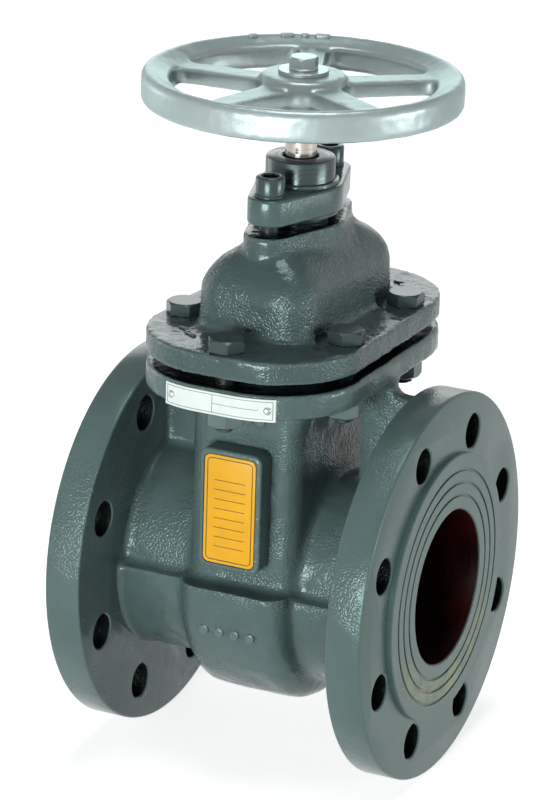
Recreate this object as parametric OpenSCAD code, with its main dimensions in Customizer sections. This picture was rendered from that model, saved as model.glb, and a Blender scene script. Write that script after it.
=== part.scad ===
// Flanged wedge gate valve with a non-rising stem and a handwheel.
// The origin is the centre of the inlet flange's raised face. +X runs along the bore
// towards the outlet, +Z runs up the stem and -Y is the side with the name plate.
// All lengths are in millimetres. The wedge is shown on its seats, so the valve is shut.

/* [Flanges] */
// Length of the valve from one raised face to the other
face_to_face = 180; // [176:1:240]
// Outer diameter of both end flanges
flange_d = 200; // [196:1:220]
// Thickness of an end flange behind its raised face
flange_t = 19; // [16:0.5:24]
// Diameter of the raised gasket face
raised_d = 138; // [132:1:142]
// Height of the raised gasket face
raised_h = 3; // [2:0.5:4]
// Diameter of the bolt circle
bolt_circle_d = 160; // [158:1:170]
// Number of bolt holes in each end flange
bolt_count = 8; // [4:4:12]
// Diameter of the flange bolt holes
bolt_hole_d = 18; // [14:0.5:19]
// Diameter of the bore
bore_d = 80; // [70:1:82]
// Radius of the innermost sealing groove
groove_r = 47.5; // [45:0.5:50]
// Distance from one sealing groove to the next
groove_step = 6.5; // [4:0.5:7]
// Width of a sealing groove
groove_w = 1.2; // [0.8:0.1:2]
// Depth of a sealing groove
groove_deep = 0.8; // [0.4:0.1:1.5]

/* [Body] */
// Width of the wedge chamber along the bore, over its walls
chamber_w = 60; // [58:1:70]
// Depth of the wedge chamber across the bore, over its walls
chamber_d = 116; // [112:1:124]
// Outside corner radius of the wedge chamber
chamber_corner = 10; // [6:1:14]
// Wall of the chamber on the flange sides
chamber_side_wall = 5; // [4:0.5:6]
// Wall of the chamber at the front and the back
chamber_end_wall = 7; // [5:0.5:9]
// Diameter of the round belly under the chamber
belly_d = 142; // [138:1:156]
// Rounding of the belly's rims
belly_round = 12; // [8:1:24]
// Wall of the belly
belly_wall = 9; // [7:0.5:12]
// Height of the lower necks' upper edge above the bore axis
neck_ledge = 0.5; // [0:0.5:4]
// Height of the belly's upper edge above the bore axis
belly_top = 3; // [0:0.5:6]
// Length of neck that is cast on each side of the chamber
neck_stub = 4; // [2:0.5:8]
// Diameter of the upper half of a neck
neck_d = 102; // [98:1:108]
// Diameter of the lower half of a neck
lower_neck_d = 116; // [110:1:119]
// Thickness of the upright rib over each neck
rib_t = 11; // [8:0.5:14]
// Distance that a rib reaches from its end flange
rib_reach = 28; // [20:1:30]
// Depth of the rib's saddle below the rim of its end flange
rib_saddle = 3; // [2:0.5:8]
// Radius of the hollow between the rib's saddle and the cover
rib_hollow = 5; // [3:0.5:8]

/* [Name plate] */
// Width of the cast pad behind the name plate
pad_w = 34; // [31:1:42]
// Height of the cast pad
pad_h = 63; // [58:1:70]
// Distance that the pad stands out from the chamber
pad_reach = 12; // [6:0.5:14]
// Height of the pad's middle above the bore axis
pad_z = 46.5; // [44:0.5:50]
// Corner radius of the pad
pad_corner = 5; // [3:0.5:8]
// Width of the rim around the name plate
pad_rim = 2.5; // [2:0.5:6]
// Thickness of both plates
plate_t = 0.8; // [0.5:0.1:1]

/* [Cover joint] */
// Width of the cover flange along the bore
cover_w = 113; // [108:1:120]
// Depth of the cover flange across the bore
cover_d = 179; // [174:1:190]
// Corner radius of the cover flange
cover_corner = 47; // [36:1:56]
// Height of the body flange's underside above the bore axis
cover_z = 103.6; // [98:0.2:112]
// Thickness of the body flange
body_flange_t = 13.2; // [12:0.2:18]
// Distance between the body flange and the bonnet flange
cover_gap = 5; // [3:0.5:6]
// Thickness of the gasket
gasket_t = 2; // [1:0.5:3]
// Setback of the gasket and its facings from the flange edge
gasket_inset = 18; // [16:0.5:20]
// Thickness of the bonnet flange
bonnet_flange_t = 11.4; // [10:0.2:15]
// Distance of the front and back cover bolts from the flange's edge
cover_end_edge = 11.5; // [10:0.5:13]
// Distance of the side cover bolts from the flange's edge
cover_side_edge = 12; // [10.5:0.5:12.5]
// Distance of the side cover bolts from the stem, across the bore
cover_side_y = 35.5; // [30:0.5:40]
// Thread diameter of the cover bolts
cover_thread = 10; // [8:1:12]
// Width across the flats of the cover bolts and nuts
cover_hex = 17; // [14:0.5:18]
// Height of a cover bolt's head
cover_head_h = 6.6; // [5:0.1:8]
// Height of a cover nut
cover_nut_h = 8.4; // [6:0.2:9]
// Length of thread that stands out below a cover nut
cover_stub = 3.5; // [2:0.5:6]

/* [Bonnet] */
// Width of the dome along the bore
dome_w = 65; // [60:1:67]
// Depth of the dome across the bore
dome_d = 116; // [108:1:118]
// Corner radius of the dome
dome_corner = 17; // [12:1:22]
// Least width of the dome at its top
dome_top_w = 24; // [18:1:30]
// Height of the dome above the bonnet flange
dome_h = 42; // [38:1:48]
// Radius of the clearance cut round each side bolt
spot_r = 16; // [12:0.5:17]
// Height of the clearance cut round each side bolt
spot_h = 6; // [4:0.5:14]
// Wall of the dome
dome_wall = 5; // [4:0.5:7]
// Height of the ears' top above the dome
ear_rise = 6.4; // [4:0.2:12]
// Margin of the ears round the gland's outline
ear_margin = 1.5; // [0:0.5:3]
// Depth of the stuffing box below the ears' top
box_deep = 16.5; // [15:0.5:17]
// Diameter of the stuffing box
box_d = 30; // [28:1:32]

/* [Gland] */
// Distance of the gland bolts from the stem
gland_bolt_y = 34; // [32:0.5:38]
// Radius of the gland's ends, round its bolts
gland_end_r = 11; // [9:0.5:13]
// Radius of the gland's middle
gland_mid_r = 22; // [21.5:0.5:24]
// Height of the slot under the gland
gland_gap = 5.2; // [4:0.2:8]
// Thickness of the gland flange
gland_t = 13.3; // [10:0.1:16]
// Diameter of the bush that stands out of the gland
bush_d = 34.8; // [33:0.2:36]
// Height of the bush above the gland flange
bush_rise = 13; // [8:0.5:15]
// Diameter of the collar ring round the bush
collar_d = 39; // [37.5:0.5:41]
// Height of the collar ring
collar_h = 2; // [1:0.5:3]
// Depth of the bush's skirt in the stuffing box
skirt_deep = 4; // [3:0.5:5]
// Thread diameter of the gland bolts
gland_thread = 10; // [8:1:12]
// Diameter of a gland bolt's socket head
socket_head_d = 14.6; // [13:0.2:18]
// Height of a gland bolt's socket head
socket_head_h = 9; // [8:0.5:11]
// Width across the flats of the hexagon sockets
socket_hex = 8; // [6:0.5:9]
// Depth of the hexagon sockets
socket_deep = 5; // [4:0.5:6]
// Diameter of the washers under the gland bolts
gland_washer_d = 15; // [14:0.5:18]
// Thickness of the washers under the gland bolts
gland_washer_t = 1.5; // [1:0.1:2.5]

/* [Stem] */
// Diameter of the stem
stem_d = 16; // [14:0.5:17]
// Height of the stem's lower end above the bore axis
stem_foot = 46; // [45:0.5:47]
// Diameter of the stem's thrust collar
thrust_d = 24; // [22:1:26]
// Height of the stem's thrust collar
thrust_h = 5; // [4:0.5:6]
// Gap round the stem in every bore that it turns in
running_gap = 0.6; // [0.3:0.1:1]
// Gap between pieces that sit in one another
fit_gap = 0.3; // [0.2:0.05:0.4]

/* [Wedge] */
// Radius of the wedge, its rings and the seats
wedge_r = 46; // [44:0.5:47]
// Half of the wedge's thickness at the bore axis
wedge_half_t = 15; // [14:0.5:16]
// Slope of each seat from upright, in degrees
seat_angle = 5; // [4:0.5:6]
// Width of the seat rings
seat_w = 6; // [4:0.5:6.5]
// Depth of the rings in the wedge
wedge_ring_t = 3; // [2:0.5:4]
// Wall at the bottom of the stem's hole in the wedge
wedge_floor = 4; // [3:0.5:5]
// Height of the stem nut
nut_h = 13.4; // [12:0.2:15]
// Height of the stem nut's underside above the wedge's round part
nut_rise = 1.3; // [1:0.1:3]
// Width of the stem nut
nut_w = 26; // [24:1:28]
// Wall of the lug over and beside the stem nut
lug_wall = 5; // [4:0.5:6]
// Width of the slope along the lug's top edges
lug_slope_w = 6; // [5:0.5:7]
// Height of that slope
lug_slope_h = 4; // [3:0.5:4]

/* [Handwheel] */
// Outer diameter of the handwheel
wheel_d = 160; // [150:1:200]
// Width of the rim
rim_w = 14; // [12:0.5:18]
// Height of the rim
rim_h = 16; // [13:0.5:18]
// Height of the rim's underside above the bonnet's ears
rim_rise = 58.4; // [56:0.2:70]
// Number of spokes
spoke_count = 5; // [3:1:6]
// Angle of the first spoke from the bore, in degrees
spoke_turn = 39; // [0:1:71]
// Width of a spoke at the hub
spoke_root_w = 17; // [12:0.5:20]
// Width of a spoke at the rim
spoke_tip_w = 13; // [10:0.5:18]
// Thickness of a spoke
spoke_t = 8; // [6:0.5:10]
// Diameter of the hub
hub_d = 43; // [38:1:48]
// Height of the hub's top above the rim's underside
hub_rise = 15; // [12:0.5:20]
// Height of the hub
hub_h = 23; // [18:0.5:26]
// Width of the square on the stem that drives the hub
square_w = 11; // [9:0.5:12]
// Thread diameter of the wheel bolt
wheel_thread = 8; // [6:0.5:8]
// Width across the flats of the wheel bolt
wheel_hex = 13; // [11:0.5:14]
// Height of the wheel bolt's head
wheel_head_h = 5.3; // [4:0.1:6]
// Diameter of the washer on the hub
washer_d = 25; // [20:0.5:28]
// Thickness of the washer on the hub
washer_t = 2; // [1.5:0.1:3]

/* [Rating plate] */
// Width of the rating plate along the bore
rating_w = 59; // [44:1:64]
// Height of the rating plate
rating_h = 11.4; // [9:0.2:13]
// Distance of the rating plate's middle from the stem, towards the outlet
rating_x = 1.5; // [0:0.5:3]
// Diameter of a rivet's head
rivet_d = 4; // [3:0.2:5]
// Height of a rivet's head
rivet_h = 1.2; // [0.8:0.1:2]

/* [Output] */

/* [Hidden] */
$fn = 96;
over = 1;
axis_x = face_to_face / 2;
bore_r = bore_d / 2;
flange_in = flange_t + raised_h;
half_w = chamber_w / 2;
half_d = chamber_d / 2;
cavity_w = chamber_w - 2 * chamber_side_wall;
cavity_d = chamber_d - 2 * chamber_end_wall;
least_corner = 2;
cavity_corner = max(chamber_corner - chamber_side_wall, least_corner);
belly_r = belly_d / 2;
belly_cavity_r = belly_r - belly_wall;
ledge_z = belly_top - belly_wall;
neck_in = half_w + neck_stub;
pad_y = -half_d - pad_reach;

body_flange_top = cover_z + body_flange_t;
facing_h = (cover_gap - gasket_t) / 2;
bonnet_z = body_flange_top + cover_gap;
dome_z = bonnet_z + bonnet_flange_t;
hole_gap = 1.5;
cover_hole_d = cover_thread + hole_gap;
cover_bolt_x = cover_w / 2 - cover_side_edge;
cover_bolt_y = cover_d / 2 - cover_end_edge;
cover_bolts = [
    [0, -cover_bolt_y],
    [cover_bolt_x, -cover_side_y],
    [cover_bolt_x, cover_side_y],
    [0, cover_bolt_y],
    [-cover_bolt_x, cover_side_y],
    [-cover_bolt_x, -cover_side_y]
];
// Turn of each cover bolt and its nut, in degrees
cover_bolt_turns = [30, 12, 0, 24, 8, 40];

dome_top = dome_z + dome_h;
// Dome sides: a slight lean up to the shoulder, then a curve inwards
dome_side_lean = 2.5;
dome_shoulder_at = 0.4;
dome_shoulder_in = 21;
dome_shoulder_power = 3;
ear_top = dome_top + ear_rise;
box_floor = ear_top - box_deep;
cavity_top = box_floor - dome_wall;
gland_z = ear_top + gland_gap;
gland_top = gland_z + gland_t;
bush_top = gland_top + bush_rise;
bush_chamfer = 1;
bush_shoulder = 2;
gland_hole_d = gland_thread + 1;
ear_thread_deep = 20;

rim_z = ear_top + rim_rise;
hub_top = rim_z + hub_rise;
hub_z = hub_top - hub_h;
thrust_z = box_floor + fit_gap;
skirt_z = ear_top - skirt_deep;
lock_t = 1.2;
lock_d = wheel_hex + hole_gap;
wheel_head_z = hub_top + washer_t + lock_t;

seat_x = wedge_half_t + fit_gap;
seat_in_r = wedge_r - seat_w;
seat_depth = 17;
nut_z = wedge_r + nut_rise;
lug_top = nut_z + nut_h + fit_gap + lug_wall;
lug_half_d = nut_w / 2 + fit_gap + lug_wall;
stem_hole_d = stem_d + 2 * running_gap;
hub_lip = 4;
spoke_top_z = hub_top - hub_lip;
rim_mid_r = (wheel_d - rim_w) / 2;

// ---------- outlines ----------

// Unit vector at an angle.
function dir(a) = [cos(a), sin(a)];

// Point on circle c = [x, y, r] at an angle.
function on_circle(c, a) = [c.x + c[2] * cos(a), c.y + c[2] * sin(a)];

// Angle at which the outer tangent from circle c to circle d touches both, going anticlockwise.
function tangent_angle(c, d) =
    atan2(d.y - c.y, d.x - c.x) - acos((c[2] - d[2]) / norm([d.x - c.x, d.y - c.y]));

// Circles [x, y, r], listed anticlockwise, with a tight band round them all.
module wrap(circles) {
    n = len(circles);
    polygon([
        for (i = [0 : n - 1])
            let (c = circles[i], d = circles[(i + 1) % n], a = tangent_angle(c, d))
            each [on_circle(c, a), on_circle(d, a)]
    ]);
    for (c = circles) {
        translate([c.x, c.y]) circle(r = c[2]);
    }
}

// Rectangle with round corners, centred on the origin.
module round_rect(w, d, r) {
    square([w - 2 * r, d], center = true);
    square([w, d - 2 * r], center = true);
    for (sx = [-1, 1]) {
        for (sy = [-1, 1]) {
            translate([sx * (w / 2 - r), sy * (d / 2 - r)]) circle(r = r);
        }
    }
}

// Outline of the cover flange, set back all round by an inset.
module cover_outline(inset = 0) {
    round_rect(cover_w - 2 * inset, cover_d - 2 * inset, cover_corner - inset);
}

// Holes for the cover bolts.
module cover_bolt_holes() {
    for (p = cover_bolts) {
        translate(p) circle(d = cover_hole_d);
    }
}

// Outline shared by the ears and the gland flange, grown all round by a margin.
module gland_outline(margin = 0) {
    wrap([
        [0, -gland_bolt_y, gland_end_r + margin],
        [0, 0, gland_mid_r + margin],
        [0, gland_bolt_y, gland_end_r + margin],
        [0, 0, gland_mid_r + margin]
    ]);
}

// Solid cylinder along +X from the plane x = from to x = to.
module x_rod(from, to, r) {
    translate([from, 0, 0]) rotate([0, 90, 0]) cylinder(h = to - from, r = r);
}

// ---------- body casting ----------

// Upper half neck and the larger lower half neck, between two planes across the bore.
module neck(from, to) {
    x_rod(from, to, neck_d / 2);
    intersection() {
        x_rod(from, to, lower_neck_d / 2);
        translate([from - over, -flange_d, -flange_d])
            cube([to - from + 2 * over, 2 * flange_d, flange_d + neck_ledge]);
    }
}

module chamber_outside() {
    linear_extrude(cover_z + over) round_rect(chamber_w, chamber_d, chamber_corner);
}

module belly_outside() {
    intersection() {
        rotate([0, 90, 0]) rotate_extrude() belly_profile(belly_r, half_w, belly_round);
        translate([-half_w - over, -belly_r - over, -belly_r - over])
            cube([chamber_w + 2 * over, belly_d + 2 * over, belly_r + over + belly_top]);
    }
}

// Half section of a drum with round rims.
module belly_profile(r, half, round_r) {
    translate([0, -half]) square([r - round_r, 2 * half]);
    translate([0, -half + round_r]) square([r, 2 * (half - round_r)]);
    for (s = [-1, 1]) {
        translate([r - round_r, s * (half - round_r)]) circle(r = round_r);
    }
}

module pad() {
    translate([0, pad_y, pad_z]) rotate([-90, 0, 0])
        linear_extrude(pad_reach + over) round_rect(pad_w, pad_h, pad_corner);
}

module body() {
    color("dimgray") translate([axis_x, 0, 0]) difference() {
        union() {
            chamber_outside();
            belly_outside();
            neck(-neck_in, neck_in);
            pad();
            translate([0, 0, cover_z]) linear_extrude(body_flange_t) cover_outline();
            translate([0, 0, body_flange_top]) linear_extrude(facing_h) cover_outline(gasket_inset);
        }
        translate([0, 0, ledge_z - over])
            linear_extrude(body_flange_top + facing_h - ledge_z + 2 * over)
                round_rect(cavity_w, cavity_d, cavity_corner);
        intersection() {
            x_rod(-cavity_w / 2, cavity_w / 2, belly_cavity_r);
            translate([-half_w, -belly_r, -belly_r]) cube([chamber_w, belly_d, belly_r + ledge_z]);
        }
        x_rod(-neck_in - over, -cavity_w / 2 + over, bore_r);
        x_rod(cavity_w / 2 - over, neck_in + over, bore_r);
        seat_pocket(-1);
        seat_pocket(1);
        translate([0, 0, cover_z - over])
            linear_extrude(body_flange_t + facing_h + 2 * over) cover_bolt_holes();
        translate([0, pad_y - over, pad_z]) rotate([-90, 0, 0])
            linear_extrude(plate_t + over)
                round_rect(pad_w - 2 * pad_rim, pad_h - 2 * pad_rim, pad_corner - pad_rim / 2);
    }
}

// ---------- end flanges and necks ----------

// Upright rib from the neck to the cover's underside, with a saddle up to the end flange.
module rib() {
    inner = axis_x - flange_in - rib_reach;
    cover_edge = cover_w / 2;
    saddle_z = flange_d / 2 - rib_saddle;
    translate([0, rib_t / 2, 0]) rotate([90, 0, 0]) linear_extrude(rib_t) difference() {
        translate([inner, 0]) square([rib_reach + over, cover_z]);
        translate([cover_edge, saddle_z + rib_hollow]) square([rib_reach, cover_z]);
        translate([cover_edge + rib_hollow, saddle_z]) square([rib_reach, cover_z]);
        translate([cover_edge + rib_hollow, saddle_z + rib_hollow]) circle(r = rib_hollow);
    }
}

module end_flange() {
    difference() {
        union() {
            x_rod(axis_x - flange_in, axis_x - raised_h, flange_d / 2);
            x_rod(axis_x - raised_h - over, axis_x, raised_d / 2);
            neck(neck_in, axis_x - flange_in + over);
            rib();
        }
        x_rod(neck_in - over, axis_x + over, bore_r);
        seat_pocket(1);
        for (i = [0 : bolt_count - 1]) {
            rotate([(i + 0.5) * 360 / bolt_count, 0, 0]) translate([0, bolt_circle_d / 2, 0])
                x_rod(axis_x - flange_in - over, axis_x + over, bolt_hole_d / 2);
        }
        for (i = [0 : 2]) {
            r = groove_r + i * groove_step;
            difference() {
                x_rod(axis_x - groove_deep, axis_x + over, r + groove_w / 2);
                x_rod(axis_x - groove_deep - over, axis_x + 2 * over, r - groove_w / 2);
            }
        }
    }
}

module outlet_flange() {
    color("slategray") translate([axis_x, 0, 0]) end_flange();
}

module inlet_flange() {
    color("slategray") translate([axis_x, 0, 0]) mirror([1, 0, 0]) end_flange();
}

// ---------- seats ----------

// Places its children on a seat plane, local +X pointing out of the wedge.
module on_seat(side, offset) {
    mirror([side < 0 ? 1 : 0, 0, 0]) translate([offset, 0, 0]) rotate([0, seat_angle, 0]) children();
}

module seat_pocket(side) {
    on_seat(side, seat_x) x_rod(0, seat_depth, wedge_r);
}

module seat(side) {
    difference() {
        on_seat(side, seat_x) x_rod(0, seat_depth, wedge_r);
        x_rod(-axis_x, axis_x, seat_in_r);
    }
}

module inlet_seat() {
    color("goldenrod") translate([axis_x, 0, 0]) seat(-1);
}

module outlet_seat() {
    color("goldenrod") translate([axis_x, 0, 0]) seat(1);
}

// ---------- cover joint ----------

module gasket() {
    color("black") translate([axis_x, 0, body_flange_top + facing_h]) linear_extrude(gasket_t) difference() {
        cover_outline(gasket_inset);
        round_rect(cavity_w, cavity_d, cavity_corner);
        cover_bolt_holes();
    }
}

// Bolt with a hexagon head on top and its shank below, drawn from the plane under the head.
module hex_bolt(thread, hex, head_h, shank) {
    intersection() {
        cylinder(h = head_h, d = hex / cos(30), $fn = 6);
        cylinder(h = head_h, d1 = hex / cos(30) + head_h * 2, d2 = hex * 0.98);
    }
    translate([0, 0, -shank]) cylinder(h = shank + over / 2, d = thread);
}

module bonnet_bolt(i) {
    shank = dome_z - cover_z + cover_nut_h + cover_stub;
    color("gray") translate([axis_x + cover_bolts[i].x, cover_bolts[i].y, dome_z])
        rotate([0, 0, cover_bolt_turns[i]]) hex_bolt(cover_thread, cover_hex, cover_head_h, shank);
}

module bonnet_nut(i) {
    color("gray") translate([axis_x + cover_bolts[i].x, cover_bolts[i].y, cover_z - cover_nut_h])
        rotate([0, 0, cover_bolt_turns[i]]) difference() {
            cylinder(h = cover_nut_h, d = cover_hex / cos(30), $fn = 6);
            translate([0, 0, -over]) cylinder(h = cover_nut_h + 2 * over, d = cover_thread + fit_gap);
        }
}

// ---------- bonnet ----------

// How far in the dome's side stands at a share t of its height.
function shoulder(t) = t < dome_shoulder_at
    ? dome_side_lean * t
    : dome_side_lean * dome_shoulder_at
        + dome_shoulder_in * pow((t - dome_shoulder_at) / (1 - dome_shoulder_at), dome_shoulder_power);

// Ring of points of a rounded rectangle at one height.
function rect_ring(w, d, r, z, steps = 6) = [
    for (q = [0 : 3]) for (k = [0 : steps])
        let (a = q * 90 + k * 90 / steps,
             cx = (q == 0 || q == 3 ? 1 : -1) * (w / 2 - r),
             cy = (q < 2 ? 1 : -1) * (d / 2 - r))
        [cx + r * cos(a), cy + r * sin(a), z]
];

// Closed solid through a list of rings of points.
module skin(rings) {
    n = len(rings[0]);
    m = len(rings);
    polyhedron(
        points = [for (ring = rings) each ring],
        faces = concat(
            [[for (i = [0 : n - 1]) i]],
            [for (j = [0 : m - 2]) for (i = [0 : n - 1])
                [j * n + i, (j + 1) * n + i, (j + 1) * n + (i + 1) % n, j * n + (i + 1) % n]],
            [[for (i = [n - 1 : -1 : 0]) (m - 1) * n + i]]
        )
    );
}

// Dome shape between two heights, offset inwards by a wall.
module dome(wall, z_low, z_high) {
    levels = 10;
    skin([
        for (j = [0 : levels])
            let (t = j / levels,
                 inset = shoulder(t) + wall)
            rect_ring(
                dome_w - 2 * min(inset, (dome_w - dome_top_w) / 2),
                dome_d - 2 * inset,
                dome_corner - wall,
                z_low + (z_high - z_low) * t)
    ]);
}

module bonnet() {
    color("darkslategray") translate([axis_x, 0, 0]) difference() {
        union() {
            translate([0, 0, bonnet_z]) linear_extrude(bonnet_flange_t) cover_outline();
            translate([0, 0, bonnet_z - facing_h])
                linear_extrude(facing_h + over) cover_outline(gasket_inset);
            dome(0, dome_z - over, dome_top);
            translate([0, 0, dome_z + dome_h / 2]) linear_extrude(ear_top - dome_z - dome_h / 2)
                gland_outline(ear_margin);
        }
        for (i = [1, 2, 4, 5]) {
            translate([cover_bolts[i].x, cover_bolts[i].y, dome_z]) cylinder(h = spot_h, r = spot_r);
        }
        intersection() {
            dome(dome_wall, bonnet_z - facing_h - over, cavity_top);
            linear_extrude(cavity_top + over) round_rect(cavity_w, cavity_d, cavity_corner);
        }
        translate([0, 0, box_floor]) cylinder(h = box_deep + over, d = box_d);
        translate([0, 0, cavity_top - over]) cylinder(h = box_deep, d = stem_hole_d);
        translate([0, 0, bonnet_z - facing_h - over])
            linear_extrude(bonnet_flange_t + facing_h + 2 * over) cover_bolt_holes();
        for (sy = [-1, 1]) {
            translate([0, sy * gland_bolt_y, ear_top - ear_thread_deep])
                cylinder(h = ear_thread_deep + over, d = gland_thread + fit_gap);
        }
    }
}

// ---------- gland ----------

module packing() {
    low = thrust_z + thrust_h + fit_gap;
    color("khaki") translate([axis_x, 0, low]) difference() {
        cylinder(h = skirt_z - low, d = box_d);
        translate([0, 0, -over]) cylinder(h = box_deep, d = stem_hole_d);
    }
}

module gland_bush() {
    color("dimgray") translate([axis_x, 0, 0]) difference() {
        union() {
            translate([0, 0, skirt_z]) cylinder(h = bush_top - skirt_z, d = box_d - 2 * fit_gap);
            translate([0, 0, gland_z - bush_shoulder]) cylinder(h = bush_shoulder, d = collar_d);
            translate([0, 0, gland_z - over])
                cylinder(h = bush_top - gland_z + over - bush_chamfer, d = bush_d);
            translate([0, 0, bush_top - bush_chamfer])
                cylinder(h = bush_chamfer, d1 = bush_d, d2 = bush_d - 2 * bush_chamfer);
        }
        translate([0, 0, skirt_z - over]) cylinder(h = bush_top - skirt_z + 2 * over, d = stem_d + 2);
    }
}

module gland_flange() {
    color("slategray") translate([axis_x, 0, gland_z]) difference() {
        union() {
            linear_extrude(gland_t) gland_outline();
            cylinder(h = gland_t + collar_h, d = collar_d);
        }
        translate([0, 0, -over]) cylinder(h = gland_t + collar_h + 2 * over, d = bush_d + fit_gap);
        for (sy = [-1, 1]) {
            translate([0, sy * gland_bolt_y, -over]) cylinder(h = gland_t + 2 * over, d = gland_hole_d);
        }
    }
}

module gland_bolt(side) {
    shank = gland_washer_t + gland_t + gland_gap + ear_thread_deep - over;
    color("gray") translate([axis_x, side * gland_bolt_y, gland_top + gland_washer_t]) difference() {
        union() {
            cylinder(h = socket_head_h, d = socket_head_d);
            translate([0, 0, -shank]) cylinder(h = shank + over / 2, d = gland_thread);
        }
        translate([0, 0, socket_head_h - socket_deep])
            cylinder(h = socket_head_h, d = socket_hex / cos(30), $fn = 6);
    }
}

module gland_bolt_front() {
    gland_bolt(-1);
}

module gland_bolt_rear() {
    gland_bolt(1);
}

module gland_washer(side) {
    color("darkgray") translate([axis_x, side * gland_bolt_y, gland_top]) difference() {
        cylinder(h = gland_washer_t, d = gland_washer_d);
        translate([0, 0, -over]) cylinder(h = gland_washer_t + 2 * over, d = gland_thread + fit_gap);
    }
}

module gland_washer_front() {
    gland_washer(-1);
}

module gland_washer_rear() {
    gland_washer(1);
}

// ---------- plates ----------

module name_plate() {
    color("orange") translate([axis_x, pad_y, pad_z]) rotate([-90, 0, 0])
        linear_extrude(plate_t)
            round_rect(pad_w - 2 * pad_rim - 1, pad_h - 2 * pad_rim - 1, pad_corner - pad_rim / 2 - 0.5);
}

module rating_plate() {
    color("white") translate([axis_x, 0, cover_z]) linear_extrude(rating_h) intersection() {
        difference() {
            cover_outline(-plate_t);
            cover_outline();
        }
        translate([rating_x - rating_w / 2, -cover_d]) square([rating_w, cover_d]);
    }
}

// Rivet near one end of the rating plate, on the arc at the corner of the cover flange.
module rivet(side) {
    reach = rating_w / 2 - rivet_d + side * rating_x;
    arc_x = cover_w / 2 - cover_corner;
    turn = side * asin((reach - arc_x) / cover_corner);
    color("silver")
        translate([axis_x + side * arc_x, cover_corner - cover_d / 2, cover_z + rating_h / 2])
            rotate([0, 0, turn]) translate([0, -cover_corner - plate_t, 0]) rotate([90, 0, 0])
                cylinder(h = rivet_h, d1 = rivet_d, d2 = rivet_d / 2);
}

module rivet_left() {
    rivet(-1);
}

module rivet_right() {
    rivet(1);
}

// ---------- wedge ----------

module wedge() {
    slope = tan(seat_angle);
    color("sienna") translate([axis_x, 0, 0]) difference() {
        union() {
            intersection() {
                x_rod(-axis_x, axis_x, wedge_r);
                rotate([90, 0, 0]) translate([0, 0, -wedge_r]) linear_extrude(2 * wedge_r) polygon([
                    [-wedge_half_t + wedge_r * slope, -wedge_r],
                    [wedge_half_t - wedge_r * slope, -wedge_r],
                    [wedge_half_t + wedge_r * slope, wedge_r],
                    [-wedge_half_t - wedge_r * slope, wedge_r]
                ]);
            }
            rotate([90, 0, 0]) translate([0, 0, -lug_half_d]) linear_extrude(2 * lug_half_d) polygon([
                [-wedge_half_t, wedge_r / 2],
                [wedge_half_t, wedge_r / 2],
                [wedge_half_t, lug_top - lug_slope_h],
                [wedge_half_t - lug_slope_w, lug_top],
                [-wedge_half_t + lug_slope_w, lug_top],
                [-wedge_half_t, lug_top - lug_slope_h]
            ]);
        }
        translate([0, 0, -wedge_r + wedge_floor]) cylinder(h = 3 * wedge_r, d = stem_hole_d);
        translate([-axis_x, -nut_w / 2 - fit_gap, nut_z - fit_gap])
            cube([2 * axis_x, nut_w + 2 * fit_gap, nut_h + 2 * fit_gap]);
        for (side = [-1, 1]) {
            on_seat(side, wedge_half_t - wedge_ring_t) difference() {
                x_rod(0, wedge_ring_t + over, wedge_r + over);
                x_rod(-over, wedge_ring_t + 2 * over, seat_in_r);
            }
        }
    }
}

module wedge_ring(side) {
    color("goldenrod") translate([axis_x, 0, 0]) on_seat(side, wedge_half_t - wedge_ring_t) difference() {
        x_rod(0, wedge_ring_t, wedge_r - fit_gap);
        x_rod(-over, wedge_ring_t + over, seat_in_r);
    }
}

module wedge_ring_inlet() {
    wedge_ring(-1);
}

module wedge_ring_outlet() {
    wedge_ring(1);
}

module stem_nut() {
    color("gold") translate([axis_x, 0, nut_z]) difference() {
        translate([-wedge_half_t + over, -nut_w / 2, 0]) cube([2 * (wedge_half_t - over), nut_w, nut_h]);
        translate([0, 0, -over]) cylinder(h = nut_h + 2 * over, d = stem_d + fit_gap * 2);
    }
}

// ---------- stem and handwheel ----------

module stem() {
    color("silver") translate([axis_x, 0, 0]) difference() {
        union() {
            translate([0, 0, stem_foot]) cylinder(h = hub_z - stem_foot, d = stem_d);
            translate([0, 0, thrust_z]) cylinder(h = thrust_h, d = thrust_d);
            translate([-square_w / 2, -square_w / 2, hub_z - over]) cube([square_w, square_w, hub_h]);
        }
        translate([0, 0, hub_z]) cylinder(h = hub_h + over, d = wheel_thread + fit_gap);
    }
}

module rim_profile() {
    corner = rim_w / 2 - 1;
    translate([rim_mid_r, rim_z + rim_h / 2]) round_rect(rim_w, rim_h, corner);
}

module handwheel() {
    color("lightgray") translate([axis_x, 0, 0]) difference() {
        union() {
            rotate_extrude() rim_profile();
            translate([0, 0, hub_z]) cylinder(h = hub_h, d = hub_d);
            for (i = [0 : spoke_count - 1]) {
                rotate([0, 0, spoke_turn + i * 360 / spoke_count])
                    translate([0, 0, spoke_top_z - spoke_t]) linear_extrude(spoke_t)
                        polygon([
                            [0, -spoke_root_w / 2],
                            [rim_mid_r, -spoke_tip_w / 2],
                            [rim_mid_r, spoke_tip_w / 2],
                            [0, spoke_root_w / 2]
                        ]);
            }
        }
        translate([-square_w / 2 - fit_gap / 2, -square_w / 2 - fit_gap / 2, hub_z - over])
            cube([square_w + fit_gap, square_w + fit_gap, hub_h + 2 * over]);
    }
}

module wheel_washer() {
    color("silver") translate([axis_x, 0, hub_top]) difference() {
        cylinder(h = washer_t, d = washer_d);
        translate([0, 0, -over]) cylinder(h = washer_t + 2 * over, d = wheel_thread + fit_gap);
    }
}

module lock_washer() {
    color("gray") translate([axis_x, 0, hub_top + washer_t]) difference() {
        cylinder(h = lock_t, d = lock_d);
        translate([0, 0, -over]) cylinder(h = lock_t + 2 * over, d = wheel_thread + fit_gap);
    }
}

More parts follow.
